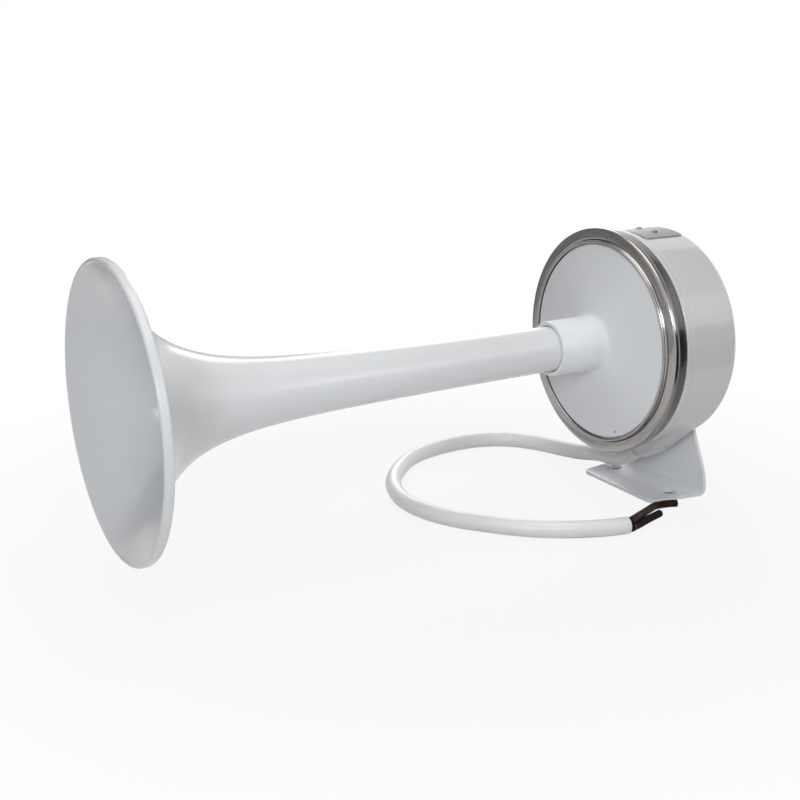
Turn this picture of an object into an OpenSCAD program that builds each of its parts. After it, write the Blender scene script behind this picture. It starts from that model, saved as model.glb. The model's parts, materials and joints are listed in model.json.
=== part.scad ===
// Marine electric horn: a flared trumpet on a diaphragm drum, held by a bent sheet bracket.
// Millimetres. +X points to the bell and +Z is up. The origin lies on the foot's underside,
// midway between its two mounting holes.

/* [Trumpet] */
// Radius of the bell's mouth over its rim
mouth_r = 76.5; // [66:0.5:84]
// Length of the trumpet from its seat in the neck to the mouth
trumpet_len = 291; // [250:1:340]
// Outer radius of the straight tube
tube_r = 13.3; // [11:0.1:15]
// Wall thickness of the trumpet
trumpet_wall = 1.5; // [1.3:0.1:2.2]
// Length in which the wide part of the flare dies away behind the mouth
flare_len = 23.5; // [16:0.5:32]
// Length in which the slow swell of the tube dies away behind the mouth
swell_len = 110; // [75:5:140]
// Radius that the slow swell adds at the mouth
swell_r = 8.5; // [4:0.5:12]
// Radius that the outward curl adds at the mouth
curl_r = 12; // [4:0.5:14]
// Length in which the curl dies away behind the mouth
curl_len = 5; // [4:0.5:9]
// Length of the banded rim along the mouth
rim_len = 5.2; // [3.6:0.1:6.4]
// Width of the rim's front face
rim_w = 2; // [1.8:0.1:2.6]
// Radius of the rim's rounded edges
rim_edge_r = 1.4; // [0.8:0.1:1.5]
// Height of the rim over the flare's back
rim_proud = 1.5; // [0.8:0.1:2.5]

/* [Front cover] */
// Length of the neck from the dome to its mouth
neck_len = 31; // [24:1:40]
// Outer radius of the neck at its mouth
neck_r = 16.2; // [15.6:0.1:20]
// Growth of the neck's radius towards the dome
neck_taper = 0.4; // [0:0.1:1]
// Radius of the fillet between the neck and the dome
neck_fillet = 4; // [2:0.5:7]
// Rise of the dome from its edge to the neck
dome_rise = 5.5; // [3:0.5:9]
// Wall thickness of the dome
dome_wall = 3; // [2:0.5:4]
// Width of the rim from the drum's side in to the raised face inside the clamp ring
face_inset = 6.6; // [6.2:0.1:10]
// Height of the raised face over the cover's flange
face_step = 2; // [1.4:0.1:3]
// Thickness of the cover's flange under the clamp ring
cover_flange_t = 3.2; // [2.4:0.2:4]
// Radius of the throat that lets the sound into the trumpet
throat_r = 8; // [7:0.5:10]
// Width of the neck's floor that the trumpet's gasket lies on
neck_floor = 5; // [3:0.5:7]
// Radius of the drain hole near the cover's lower edge
drain_r = 1; // [0.8:0.1:1.5]

/* [Drum] */
// Outer radius of the housing's drum
drum_r = 64.2; // [62:0.2:68]
// Length of the drum from its rear face to the shoulder
drum_len = 35.5; // [32:0.5:42]
// Wall thickness of the drum
drum_wall = 2.5; // [2:0.1:3]
// Thickness of the drum's rear wall
rear_wall = 6; // [5:0.1:6.4]
// Radius of the rounded rear edge
rear_edge_r = 4; // [2:0.5:6]
// Radius by which the shoulder stands out from the drum
shoulder_rise = 1.8; // [1:0.1:2.4]
// Width of the shoulder behind the clamp ring
shoulder_w = 4.8; // [3.5:0.1:6]
// Thickness of the drum's front flange
flange_t = 1.8; // [1.4:0.1:2.6]
// Height of the rear pad that the bracket bears on
pad_h = 5.5; // [4:0.5:8]
// Radius of the rear pad
pad_r = 22; // [19:0.5:24]

/* [Clamp ring] */
// Sheet thickness of the clamp ring
ring_t = 1.2; // [0.8:0.1:1.6]
// Radial play between the ring's band and the flanges inside it
ring_play = 0.2; // [0.1:0.05:0.4]
// Growth of the band's radius from its rear edge to its front corner
ring_flare = 2.2; // [1:0.1:3]
// Radial reach of the ring's rear lip into the drum's groove
lip_reach = 2.4; // [1.4:0.1:3]
// Gap between the cover's raised face and the ring's inner bead
face_gap = 1.3; // [0.6:0.1:2]
// Radius of the rolled bead on the ring's inner edge
roll_r = 0.9; // [0.7:0.1:1]

/* [Diaphragm and seals] */
// Thickness of the diaphragm
disc_t = 0.5; // [0.4:0.1:1]
// Thickness of each rim gasket
gasket_t = 1.65; // [1:0.05:2]
// Radial width of the rim gaskets
gasket_w = 8; // [6.5:0.5:8.5]
// Thickness of the gasket between the trumpet and the neck's floor
seat_gasket_t = 1.5; // [1:0.1:2.5]

/* [Bracket] */
// Height of the horn's axis over the foot's underside
axis_h = 97; // [92:1:110]
// Thickness of the bracket's sheet
sheet_t = 2; // [1.6:0.1:2.5]
// Distance from the web's rear face to the foot's holes
hole_setback = 19; // [18:0.5:24]
// Distance from the foot's holes to its front edge
foot_front = 21; // [18:1:28]
// Half of the foot's width at its front edge
foot_half_front = 33; // [32:0.5:40]
// Half of the foot's width at the bend
foot_half_rear = 38; // [34:0.5:44]
// Radius of the foot's front corners
foot_corner_r = 6; // [3:0.5:9]
// Inner radius of the bend between foot and web
bend_r = 2.5; // [2:0.5:5]
// Half of the web's width where it bears on the drum's pad
web_half = 24; // [22:0.5:28]
// Height over which the web narrows above the foot
web_shoulder_h = 45; // [30:1:55]
// Distance between the two mounting holes
hole_spacing = 52; // [46:1:56]
// Radius of the mounting holes
hole_r = 4.4; // [3:0.1:4.6]

/* [Magnet] */
// Radius of the fixed pole core and of the plunger
core_r = 9.6; // [8:0.1:10]
// Length of the pole core inside the coil
core_len = 8.5; // [6:0.5:11]
// Air gap between the pole core and the plunger at rest
air_gap = 0.8; // [0.7:0.1:1.2]
// Outer radius of the steel shell round the coil
shell_r = 30; // [28:0.5:30]
// Wall thickness of the shell
shell_wall = 3; // [2:0.5:3.5]
// Length of the shell
shell_len = 23.5; // [21:0.5:23.5]
// Radius of the armature's plate
plate_r = 36; // [35:0.5:36.5]
// Thickness of the armature's plate
plate_t = 2.5; // [2:0.1:3]
// Radius of the rear stud
stud_r = 4.95; // [3.95:0.5:4.95]
// Radius of the stud that carries the diaphragm
tip_stud_r = 2.95; // [2.45:0.1:2.95]

/* [Breaker] */
// Distance from the horn's axis to the breaker's block
block_y = 48; // [47:0.5:48.5]
// Depth of the breaker's block away from the axis
block_d = 10; // [9:0.5:10]
// Height of the breaker's block
block_w = 16; // [14:1:18]
// Thickness of the contact leaf
leaf_t = 0.5; // [0.3:0.1:0.6]
// Distance from the horn's axis to the push button
button_y = 33; // [32.8:0.1:33.4]
// Distance from the horn's axis to the contacts
contact_y = 42; // [41:0.5:44]
// Thickness of the contact arm
arm_t = 1.5; // [1:0.1:2]
// Distance of the adjusting screw from the horn's axis
adjuster_y = 44; // [43.5:0.1:44.4]
// Height of the adjusting screw over the horn's axis
adjuster_up = 11; // [10:0.5:13]
// Radius of the adjusting screw
adjuster_r = 2.5; // [2:0.1:3]

/* [Cable] */
// Radius of the cable's jacket
cable_r = 5; // [4.5:0.1:5.2]
// Radius of each insulated core
core_wire_r = 2; // [1.5:0.1:2.2]
// Angle of the cable's exit below the horizontal
exit_tilt = 45; // [43:1:47]
// Distance of the cable's exit in front of the mounting holes
exit_x = 2; // [1:0.5:3]
// Depth of the exit's mouth below the horn's axis
exit_drop = 70; // [69:0.5:71]
// Sideways place of the exit's mouth
exit_y = 2; // [1:0.5:3]
// Length of the boot's nose outside the mouth
boot_nose = 7; // [6:0.5:8]

/* [Nameplate] */
// Length of the nameplate along the drum
plate_len = 28; // [20:1:31]
// Half of the angle that the nameplate covers
plate_half_angle = 14.7; // [10:0.1:20]
// Thickness of the nameplate
nameplate_t = 0.6; // [0.4:0.1:1]
// Distance between the two rivets across the plate
rivet_spacing = 14; // [10:1:20]

/* [Hidden] */
$fn = 96;

// Running clearance of a shaft or screw in its hole
fit = 0.06;
// Clearance of a clamped or seated piece beside its neighbour
ease = 0.1;
// Clearance of a bolt in its drilled hole
bolt_play = 0.35;

// Stations along the horn, from the bracket forwards
web_front = sheet_t - hole_setback;
rear_x = web_front + pad_h;
wall_x = rear_x + rear_wall;
shoulder_x = rear_x + drum_len;
groove_x = shoulder_x + shoulder_w;
ring_back = groove_x + ring_play;
flange_back = ring_back + ring_t;
flange_front = flange_back + flange_t;
disc_x = flange_front + gasket_t;
disc_front = disc_x + disc_t;
cover_back = disc_front + gasket_t;
ring_seat = cover_back + cover_flange_t;
face_x = ring_seat + face_step;
neck_base = face_x + dome_rise;
neck_mouth = neck_base + neck_len;
chamber_x = neck_base - dome_wall;
floor_x = chamber_x + neck_floor;
seat_x = floor_x + seat_gasket_t;
mouth_x = seat_x + trumpet_len;

// Radii shared by the pieces that the clamp ring holds
cavity_r = drum_r - drum_wall;
face_r = drum_r - face_inset;
shoulder_r = drum_r + shoulder_rise;
flange_r = shoulder_r - ring_t - ring_play * 2;
band_r = flange_r + ring_play;
ring_corner_r = shoulder_r + ring_flare;
lip_r = band_r - lip_reach;
groove_r = lip_r - ring_play;
bead_r = face_r + face_gap;
chamber_r = flange_r - gasket_w - ease;
neck_base_r = neck_r + neck_taper;

// Rear fasteners
washer_t = 2;
nut_h = 8;
nut_across = 17;
stud_end = -hole_setback - washer_t - nut_h - 3;

// Magnet stations
core_x = wall_x + shell_wall;
core_tip = core_x + core_len;
plunger_tip = core_tip + air_gap;
shell_front = wall_x + shell_len;
plate_back = shell_front + 1;
tip_end = disc_front + 7.5;

// Fasteners of the bracket's web and of the small parts on the rear wall
bracket_screw_r = 2.45;
bracket_screw_y = 15;
block_screw_r = 1.45;
block_screw_up = 3.6;
bush_len = 9;

// Breaker stations
block_h = 22;
leaf_x = wall_x + block_h;
leaf_front = leaf_x + leaf_t;
arm_x = leaf_front + 2.5;
arm_front = arm_x + arm_t;
breaker_cap_t = 1;
breaker_screw_r = 1.45;
breaker_screw_up = 5;
contact_r = 2;
contact_gap = 0.05;

// Steps along the trumpet's flare
flare_steps = 34;
free_len = mouth_x - rim_len - neck_mouth;
flare_amp = mouth_r - rim_proud - tube_r - curl_r - swell_r * (1 - exp(-free_len / swell_len));

// Outer radius of the trumpet at a distance behind the rim, and its growth towards the rim
function flare_r(s) = tube_r + swell_r * (exp(-s / swell_len) - exp(-free_len / swell_len))
    + flare_amp * exp(-s / flare_len) + curl_r * exp(-s / curl_len);
function flare_slope(s) = swell_r / swell_len * exp(-s / swell_len)
    + flare_amp / flare_len * exp(-s / flare_len) + curl_r / curl_len * exp(-s / curl_len);
function step_s(i) = free_len * pow(1 - i / flare_steps, 2.2);
// Points of the outer and inner wall, as [radius, distance along the axis]
function outer_point(s) = [flare_r(s), mouth_x - rim_len - s];
function inner_point(s) =
    let (m = flare_slope(s), n = sqrt(1 + m * m))
    [flare_r(s) - trumpet_wall / n, mouth_x - rim_len - s + trumpet_wall * m / n];

// A point on an arc in the plane of a turned profile
function arc_point(centre, r, a) = centre + r * [cos(a), sin(a)];
function arc(centre, r, from, to, steps) =
    [for (i = [0 : steps]) arc_point(centre, r, from + (to - from) * i / steps)];

// Children are turned round the horn's axis, their own Z pointing to the bell
module on_axis() {
    translate([0, 0, axis_h]) rotate([0, 90, 0]) children();
}

// A turned piece from points given as [radius, distance along the axis]
module turned(points) {
    on_axis() rotate_extrude() polygon(points);
}

// A rod along X between two stations, off the axis by y and up
module rod(x0, x1, r, y = 0, up = 0) {
    translate([x0, y, axis_h + up]) rotate([0, 90, 0]) cylinder(r = r, h = x1 - x0);
}

// A hexagonal bar along X with the given width across its flats
module hex_bar(x0, x1, across, y = 0, up = 0) {
    translate([x0, y, axis_h + up]) rotate([0, 90, 0])
        cylinder(r = across / 2 / cos(30), h = x1 - x0, $fn = 6);
}

// A block between two corners, heights measured from the horn's axis
module block(x0, x1, y0, y1, up0, up1) {
    translate([x0, y0, axis_h + up0]) cube([x1 - x0, y1 - y0, up1 - up0]);
}

module trumpet() {
    outer = [for (i = [0 : flare_steps]) outer_point(step_s(i))];
    inner = [for (i = [flare_steps : -1 : 0]) inner_point(step_s(i))];
    rim_middle = mouth_r - rim_edge_r;
    rim = concat(
        arc([rim_middle, mouth_x - rim_len + rim_edge_r], rim_edge_r, -90, 0, 4),
        arc([rim_middle, mouth_x - rim_edge_r], rim_edge_r, 0, 90, 4),
        [[mouth_r - rim_w, mouth_x]]);
    color("white")
        turned(concat(
            [[tube_r - trumpet_wall, seat_x], [tube_r, seat_x]],
            outer, rim, inner));
}

module trumpet_gasket() {
    color("black")
        turned([
            [throat_r + 1, floor_x], [tube_r, floor_x],
            [tube_r, seat_x], [throat_r + 1, seat_x]]);
}

// Place of the drain hole, near the lower edge of the raised face
drain_y = 0.383 * (face_r - 2.6);
drain_up = -0.924 * (face_r - 2.6);

module front_cover() {
    dome_edge = [face_r - 1.2, face_x];
    dome_top = [neck_base_r + neck_fillet, neck_base];
    lead_in = tube_r + 0.5;
    profile = concat(
        [[chamber_r, cover_back], [flange_r, cover_back], [flange_r, ring_seat],
         [face_r, ring_seat], [face_r, face_x - 0.8], dome_edge],
        arc([neck_base_r + neck_fillet, neck_base + neck_fillet], neck_fillet, 262, 180, 6),
        [[neck_r, neck_mouth - 0.8], [neck_r - 0.8, neck_mouth],
         [lead_in, neck_mouth], [lead_in, neck_mouth - 3],
         [tube_r + fit, neck_mouth - 4], [tube_r + fit, floor_x],
         [throat_r, floor_x], [throat_r, chamber_x],
         [dome_top[0], chamber_x], [chamber_r - 2, face_x - dome_wall],
         [chamber_r, face_x - dome_wall - 1]]);
    color("white")
        difference() {
            turned(profile);
            rod(cover_back, face_x + dome_rise, drain_r, drain_y, drain_up);
        }
}

module clamp_ring() {
    bead = arc([bead_r + roll_r, ring_seat + ring_t + 0.8], roll_r, -60, 180, 9);
    color("silver")
        turned(concat(
            [[lip_r, ring_back], [shoulder_r - 0.8, ring_back], [shoulder_r - 0.2, ring_back + 0.6],
             [ring_corner_r - 1, ring_seat - 2.8], [ring_corner_r - 0.2, ring_seat - 2.2],
             [ring_corner_r, ring_seat - 1], [ring_corner_r - 0.3, ring_seat + 0.1],
             [ring_corner_r - 1.2, ring_seat + 0.9], [ring_corner_r - 2.4, ring_seat + ring_t],
             [bead_r + roll_r + 1.6, ring_seat + ring_t]],
            bead,
            [[bead_r, ring_seat], [ring_corner_r - 2, ring_seat], [ring_corner_r - 2.2, ring_seat - 0.8],
             [band_r, ring_back + ring_t + 4], [band_r, flange_back], [lip_r, flange_back]]));
}

module rim_gasket(x0) {
    turned([
        [flange_r - gasket_w, x0], [flange_r, x0],
        [flange_r, x0 + gasket_t], [flange_r - gasket_w, x0 + gasket_t]]);
}

module front_gasket() {
    color("black") rim_gasket(disc_front);
}

module rear_gasket() {
    color("black") rim_gasket(flange_front);
}

module diaphragm() {
    color("lightgray")
        turned([
            [tip_stud_r + fit, disc_x], [flange_r, disc_x],
            [flange_r, disc_front], [tip_stud_r + fit, disc_front]]);
}

// Mouth of the cable's exit, and the turn that points its own Z outwards along the cable
exit_mouth = [exit_x, exit_y, axis_h - exit_drop];
module at_exit() {
    translate(exit_mouth) rotate([90 + exit_tilt, 0, 0]) children();
}
boss_len = 27;
boot_r = cable_r + 1.9;
boss_r = boot_r + ease + 2.2;
sleeve_len = 16;

// Chin of the drum, as [sideways, height over the axis]: it runs from a low corner inside the
// boss's outline to the point where a line from that corner meets the drum
chin_bite = 0.3;
chin_start = [exit_y, -exit_drop] + [cos(exit_tilt), sin(exit_tilt)];
chin_corner = chin_start + (boss_r - chin_bite) * [sin(exit_tilt), -cos(exit_tilt)];
chin_r = drum_r - chin_bite;
chin_angle = atan2(chin_corner[1], chin_corner[0]) + acos(chin_r / norm(chin_corner));
module chin() {
    translate([exit_x - boss_r + chin_bite, 0, axis_h]) rotate([90, 0, 90])
        linear_extrude(2 * (boss_r - chin_bite))
            polygon([
                chin_start, chin_corner, chin_r * [cos(chin_angle), sin(chin_angle)],
                [0, 1 - drum_r]]);
}

module housing() {
    rear_fillet = arc([drum_r - rear_edge_r, rear_x + rear_edge_r], rear_edge_r, -90, 0, 6);
    shell = concat(
        [[0, rear_x]], rear_fillet,
        [[drum_r, shoulder_x - 1.5], [shoulder_r - 0.4, shoulder_x], [shoulder_r, shoulder_x + 0.6],
         [shoulder_r, groove_x - 0.6], [shoulder_r - 0.6, groove_x], [groove_r, groove_x],
         [groove_r, flange_back], [flange_r, flange_back], [flange_r, flange_front],
         [0, flange_front]]);
    color("white")
        difference() {
            union() {
                difference() {
                    union() {
                        turned(shell);
                        rod(web_front, rear_x + 1, pad_r);
                        at_exit() translate([0, 0, -boss_len]) cylinder(r = boss_r, h = boss_len);
                        chin();
                    }
                    rod(wall_x, flange_front + 1, groove_r - drum_wall);
                    rod(wall_x, shoulder_x, cavity_r);
                    at_exit() translate([0, 0, -boss_len - 10])
                        cylinder(r = boot_r + ease, h = boss_len + 11);
                    at_exit() cylinder(r = boss_r + ease, h = boot_nose);
                }
                rod(wall_x - 1, wall_x + bush_len, adjuster_r + 2, adjuster_y, adjuster_up);
            }
            rod(web_front - 1, wall_x + 1, stud_r + bolt_play);
            rod(rear_x - 1, wall_x + bush_len + 1, adjuster_r + fit, adjuster_y, adjuster_up);
            for (side = [-1, 1])
                rod(web_front - 1, wall_x - 0.6, bracket_screw_r + fit, side * bracket_screw_y);
            for (side = [-1, 1])
                at_rivet(side) cylinder(r = rivet_r + fit, h = drum_wall + 1);
            rod(wall_x - 2, wall_x + 1, block_screw_r + fit, terminal_y, terminal_up + block_screw_up);
            rod(wall_x - 2, wall_x + 1, block_screw_r + fit, clip_screw_y, capacitor_up);
        }
}

// Nameplate: rivets and plate lie on the top of the drum
nameplate_x = shoulder_x - 3 - plate_len;
rivet_r = 1.2;
module at_rivet(side) {
    translate([nameplate_x + plate_len / 2, 0, axis_h])
        rotate([-side * asin(rivet_spacing / 2 / drum_r), 0, 0])
            translate([0, 0, cavity_r - 0.5]) children();
}

module nameplate() {
    color("gray")
        difference() {
            translate([nameplate_x, 0, axis_h]) rotate([0, 90, 0])
                rotate([0, 0, 180 - plate_half_angle])
                    rotate_extrude(angle = 2 * plate_half_angle)
                        translate([drum_r, 0]) square([nameplate_t, plate_len]);
            for (side = [-1, 1])
                at_rivet(side) cylinder(r = rivet_r + fit, h = drum_wall + 4);
        }
}

module nameplate_rivets() {
    seat = drum_r - cavity_r + 0.5 + nameplate_t;
    color("silver")
        for (side = [-1, 1])
            at_rivet(side) {
                translate([0, 0, 1]) cylinder(r = rivet_r, h = seat - 1);
                translate([0, 0, seat]) intersection() {
                    cylinder(r = rivet_r * 1.7, h = 1.2);
                    translate([0, 0, -1.3]) sphere(r = 2.42);
                }
            }
}

// Outer radius of the bend, where the web's narrowing and the foot's slant begin
bend_out = bend_r + sheet_t;
// Half of the web's width at a height: it narrows along a cosine above the bend
function web_half_at(z) =
    web_half + (foot_half_rear - web_half) * (1 + cos(180 * (z - bend_out) / web_shoulder_h)) / 2;

// Section of the bent sheet, as [forwards, height]
module sheet_section() {
    bend_x = bend_out - hole_setback;
    translate([bend_x, 0]) square([foot_front - bend_x, sheet_t]);
    translate([-hole_setback, bend_out]) square([sheet_t, axis_h + web_half - bend_out]);
    translate([bend_x, bend_out]) difference() {
        circle(r = bend_out);
        circle(r = bend_r);
        translate([0, -bend_out - 1]) square([bend_out + 1, 2 * bend_out + 2]);
        translate([-bend_out - 1, 0]) square([bend_out + 2, bend_out + 1]);
    }
}

// Foot seen from above, with rounded front corners
module foot_outline() {
    back = bend_out - hole_setback;
    slant = (foot_half_rear - foot_half_front) / (foot_front - back);
    corner_x = foot_front - foot_corner_r;
    corner_half = foot_half_rear - slant * (corner_x - back);
    polygon([
        [-hole_setback - 1, -foot_half_rear], [back, -foot_half_rear], [corner_x, -corner_half],
        [foot_front, -corner_half + foot_corner_r], [foot_front, corner_half - foot_corner_r],
        [corner_x, corner_half], [back, foot_half_rear], [-hole_setback - 1, foot_half_rear]]);
    for (side = [-1, 1])
        translate([corner_x, side * (corner_half - foot_corner_r)]) circle(r = foot_corner_r);
}

// Web seen from behind, as [sideways, height]
module web_outline() {
    steps = 14;
    right = [for (i = [0 : steps])
        let (z = bend_out + web_shoulder_h * i / steps) [web_half_at(z), z]];
    left = [for (i = [steps : -1 : 0]) [-right[i][0], right[i][1]]];
    polygon(concat(
        [[foot_half_rear, bend_out - 1]], right, [[web_half, axis_h], [-web_half, axis_h]], left,
        [[-foot_half_rear, bend_out - 1]]));
    translate([0, axis_h]) circle(r = web_half);
}

module mounting_bracket() {
    wide = 2 * foot_half_rear + 4;
    color("white")
        difference() {
            intersection() {
                translate([0, wide / 2, 0]) rotate([90, 0, 0]) linear_extrude(wide) sheet_section();
                union() {
                    translate([0, 0, -1]) linear_extrude(bend_out + 1) foot_outline();
                    translate([-hole_setback - 1, 0, 0]) rotate([90, 0, 90])
                        linear_extrude(sheet_t + 2) web_outline();
                }
            }
            for (side = [-1, 1])
                translate([0, side * hole_spacing / 2, -1]) cylinder(r = hole_r, h = sheet_t + 2);
            rod(-hole_setback - 1, web_front + 1, stud_r + bolt_play);
            for (side = [-1, 1])
                rod(-hole_setback - 1, web_front + 1, bracket_screw_r + bolt_play,
                    side * bracket_screw_y);
        }
}

module bracket_washer() {
    color("silver")
        difference() {
            rod(-hole_setback - washer_t, -hole_setback, 9.9);
            rod(-hole_setback - washer_t - 1, -hole_setback + 1, stud_r + bolt_play);
        }
}

module bracket_nut() {
    x1 = -hole_setback - washer_t;
    color("silver")
        difference() {
            hex_bar(x1 - nut_h, x1, nut_across);
            rod(x1 - nut_h - 1, x1 + 1, stud_r + fit);
        }
}

module bracket_screws() {
    color("silver")
        for (side = [-1, 1]) {
            rod(-hole_setback, wall_x - 0.8, bracket_screw_r, side * bracket_screw_y);
            difference() {
                rod(-hole_setback - 3, -hole_setback, 4.5, side * bracket_screw_y);
                block(-hole_setback - 4, -hole_setback - 1.8,
                    side * bracket_screw_y - 0.6, side * bracket_screw_y + 0.6, -5, 5);
            }
        }
}

module pole_core() {
    color("gray")
        union() {
            rod(stud_end, core_x, stud_r);
            rod(core_x, core_tip, core_r);
        }
}

// Notch that lets the coil's leads out of the shell: its direction below the horizontal and its size
lead_angle = 40;
notch_len = 8;
notch_w = 6;

module magnet_shell() {
    color("dimgray")
        difference() {
            rod(wall_x, shell_front, shell_r);
            rod(core_x, shell_front + 1, shell_r - shell_wall);
            rod(wall_x - 1, core_x + 1, stud_r + bolt_play);
            translate([shell_front - notch_len, 0, axis_h]) rotate([-lead_angle, 0, 0])
                translate([0, shell_r - shell_wall - 1, -notch_w / 2])
                    cube([notch_len + 1, shell_wall + 3, notch_w]);
        }
}

module coil_bobbin() {
    flange_t = 1.2;
    tube_in = core_r + 0.5;
    tube_out = tube_in + 1.2;
    edge = shell_r - shell_wall - 0.5;
    front = shell_front - 0.3;
    color("ivory")
        turned([
            [tube_in, core_x], [edge, core_x], [edge, core_x + flange_t],
            [tube_out, core_x + flange_t], [tube_out, front - flange_t],
            [edge, front - flange_t], [edge, front], [tube_in, front]]);
}

module coil_winding() {
    inner = core_r + 0.5 + 1.2 + ease;
    edge = shell_r - shell_wall - 1.5;
    color("chocolate")
        turned([
            [inner, core_x + 1.2], [edge, core_x + 1.2],
            [edge, shell_front - 1.5], [inner, shell_front - 1.5]]);
}

// Hub that presses on the diaphragm
armature_hub_r = 14;
armature_hub_h = 2.5;
module armature() {
    color("gray")
        turned([
            [0, plunger_tip], [core_r - 1, plunger_tip], [core_r, plunger_tip + 1],
            [core_r, plate_back], [plate_r, plate_back], [plate_r, plate_back + plate_t],
            [core_r - 0.6, plate_back + plate_t], [core_r - 0.6, disc_x - armature_hub_h],
            [armature_hub_r, disc_x - armature_hub_h], [armature_hub_r, disc_x], [tip_stud_r, disc_x],
            [tip_stud_r, tip_end], [0, tip_end]]);
}

module armature_washer() {
    color("silver")
        turned([
            [tip_stud_r + fit, disc_front], [9, disc_front],
            [9, disc_front + 1], [tip_stud_r + fit, disc_front + 1]]);
}

module armature_nut() {
    color("silver")
        difference() {
            hex_bar(disc_front + 1, disc_front + 6, 10);
            rod(disc_front, disc_front + 7, tip_stud_r + fit);
        }
}

// Holes for the two screws that clamp the breaker's stack
module stack_holes(x0, x1, r) {
    for (side = [-1, 1])
        rod(x0, x1, r, block_y + block_d / 2, side * breaker_screw_up);
}

// One layer of the breaker's stack
module stack_layer(x0, x1) {
    block(x0, x1, block_y, block_y + block_d, -block_w / 2, block_w / 2);
}

module breaker_block() {
    color("saddlebrown")
        difference() {
            stack_layer(wall_x, leaf_x);
            stack_holes(leaf_x - 12, leaf_x + 1, breaker_screw_r + fit);
        }
}

module contact_leaf() {
    color("goldenrod")
        difference() {
            union() {
                stack_layer(leaf_x, leaf_front);
                block(leaf_x, leaf_front, button_y - 2.2, block_y + 1, -3, 3);
            }
            stack_holes(leaf_x - 1, leaf_front + 1, breaker_screw_r + 0.15);
        }
}

module push_button() {
    color("tan") rod(leaf_front, plate_back - ease, 1.6, button_y);
}

module moving_contact() {
    color("silver") rod(leaf_front, arm_x - 1.25 - contact_gap, contact_r, contact_y);
}

module breaker_spacer() {
    color("saddlebrown")
        difference() {
            stack_layer(leaf_front, arm_x);
            stack_holes(leaf_front - 1, arm_x + 1, breaker_screw_r + 0.15);
        }
}

module contact_arm() {
    color("silver")
        difference() {
            union() {
                stack_layer(arm_x, arm_front);
                block(arm_x, arm_front, plate_r + 1.5, block_y + 1, -5, 5);
                block(arm_x, arm_front, adjuster_y - 4, block_y + 1, 0, adjuster_up + adjuster_r + 1.5);
            }
            stack_holes(arm_x - 1, arm_front + 1, breaker_screw_r + 0.15);
        }
}

module fixed_contact() {
    color("silver") rod(arm_x - 1.25, arm_x, contact_r, contact_y);
}

module breaker_washer() {
    color("saddlebrown")
        difference() {
            stack_layer(arm_front, arm_front + breaker_cap_t);
            stack_holes(arm_front - 1, arm_front + 2, breaker_screw_r + 0.15);
        }
}

module breaker_screws() {
    head_x = arm_front + breaker_cap_t;
    color("silver")
        for (side = [-1, 1]) {
            rod(leaf_x - 11, head_x, breaker_screw_r, block_y + block_d / 2, side * breaker_screw_up);
            difference() {
                rod(head_x, head_x + 1.8, 2.7, block_y + block_d / 2, side * breaker_screw_up);
                block(head_x + 1, head_x + 2, block_y, block_y + block_d,
                    side * breaker_screw_up - 0.35, side * breaker_screw_up + 0.35);
            }
        }
}

adjuster_seal_t = 1;
adjuster_nut_h = 4;
adjuster_end = rear_x - adjuster_seal_t - adjuster_nut_h - 4;

module adjusting_screw() {
    color("silver")
        difference() {
            rod(adjuster_end, arm_x - contact_gap, adjuster_r, adjuster_y, adjuster_up);
            block(adjuster_end - 1, adjuster_end + 1.3, adjuster_y - adjuster_r - 1,
                adjuster_y + adjuster_r + 1, adjuster_up - 0.4, adjuster_up + 0.4);
        }
}

module adjuster_nut() {
    x1 = rear_x - adjuster_seal_t;
    color("silver")
        difference() {
            hex_bar(x1 - adjuster_nut_h, x1, 8, adjuster_y, adjuster_up);
            rod(x1 - adjuster_nut_h - 1, x1 + 1, adjuster_r + fit, adjuster_y, adjuster_up);
        }
}

module adjuster_seal() {
    color("black")
        difference() {
            rod(rear_x - adjuster_seal_t, rear_x, 5.5, adjuster_y, adjuster_up);
            rod(rear_x - adjuster_seal_t - 1, rear_x + 1, adjuster_r + fit, adjuster_y, adjuster_up);
        }
}

// Spark capacitor on the rear wall, held by a clip with one screw
capacitor_y = 24;
capacitor_up = 42;
capacitor_r = 6;
capacitor_len = 18;
clip_t = 1;
clip_screw_y = capacitor_y - capacitor_r - 7;

module spark_capacitor() {
    color("steelblue") rod(wall_x, wall_x + capacitor_len, capacitor_r, capacitor_y, capacitor_up);
}

module capacitor_clip() {
    inner = capacitor_r + ease;
    leg_y = capacitor_y - inner - clip_t;
    color("silver")
        difference() {
            union() {
                rod(wall_x + 5, wall_x + 11, inner + clip_t, capacitor_y, capacitor_up);
                block(wall_x, wall_x + 11, leg_y, leg_y + clip_t, capacitor_up - 3, capacitor_up + 3);
                block(wall_x, wall_x + clip_t, clip_screw_y - 3.2, leg_y + clip_t,
                    capacitor_up - 3, capacitor_up + 3);
            }
            rod(wall_x + 4, wall_x + 12, inner, capacitor_y, capacitor_up);
            rod(wall_x - 1, wall_x + 2, block_screw_r + 0.15, clip_screw_y, capacitor_up);
        }
}

// A small slotted screw into the rear wall, its head on a face at the given station
module wall_screw(face, y, up) {
    color("silver") {
        rod(wall_x - 1.8, face, block_screw_r, y, up);
        difference() {
            rod(face, face + 1.8, 2.7, y, up);
            block(face + 1, face + 2, y - 3, y + 3, up - 0.35, up + 0.35);
        }
    }
}

module capacitor_screw() {
    wall_screw(wall_x + clip_t, clip_screw_y, capacitor_up);
}

// Terminal block on the rear wall near the cable's exit
terminal_y = 30;
terminal_up = -36;
terminal_pitch = 8.8;
terminal_depth = 12;
entry_x = wall_x + 6.5;

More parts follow.
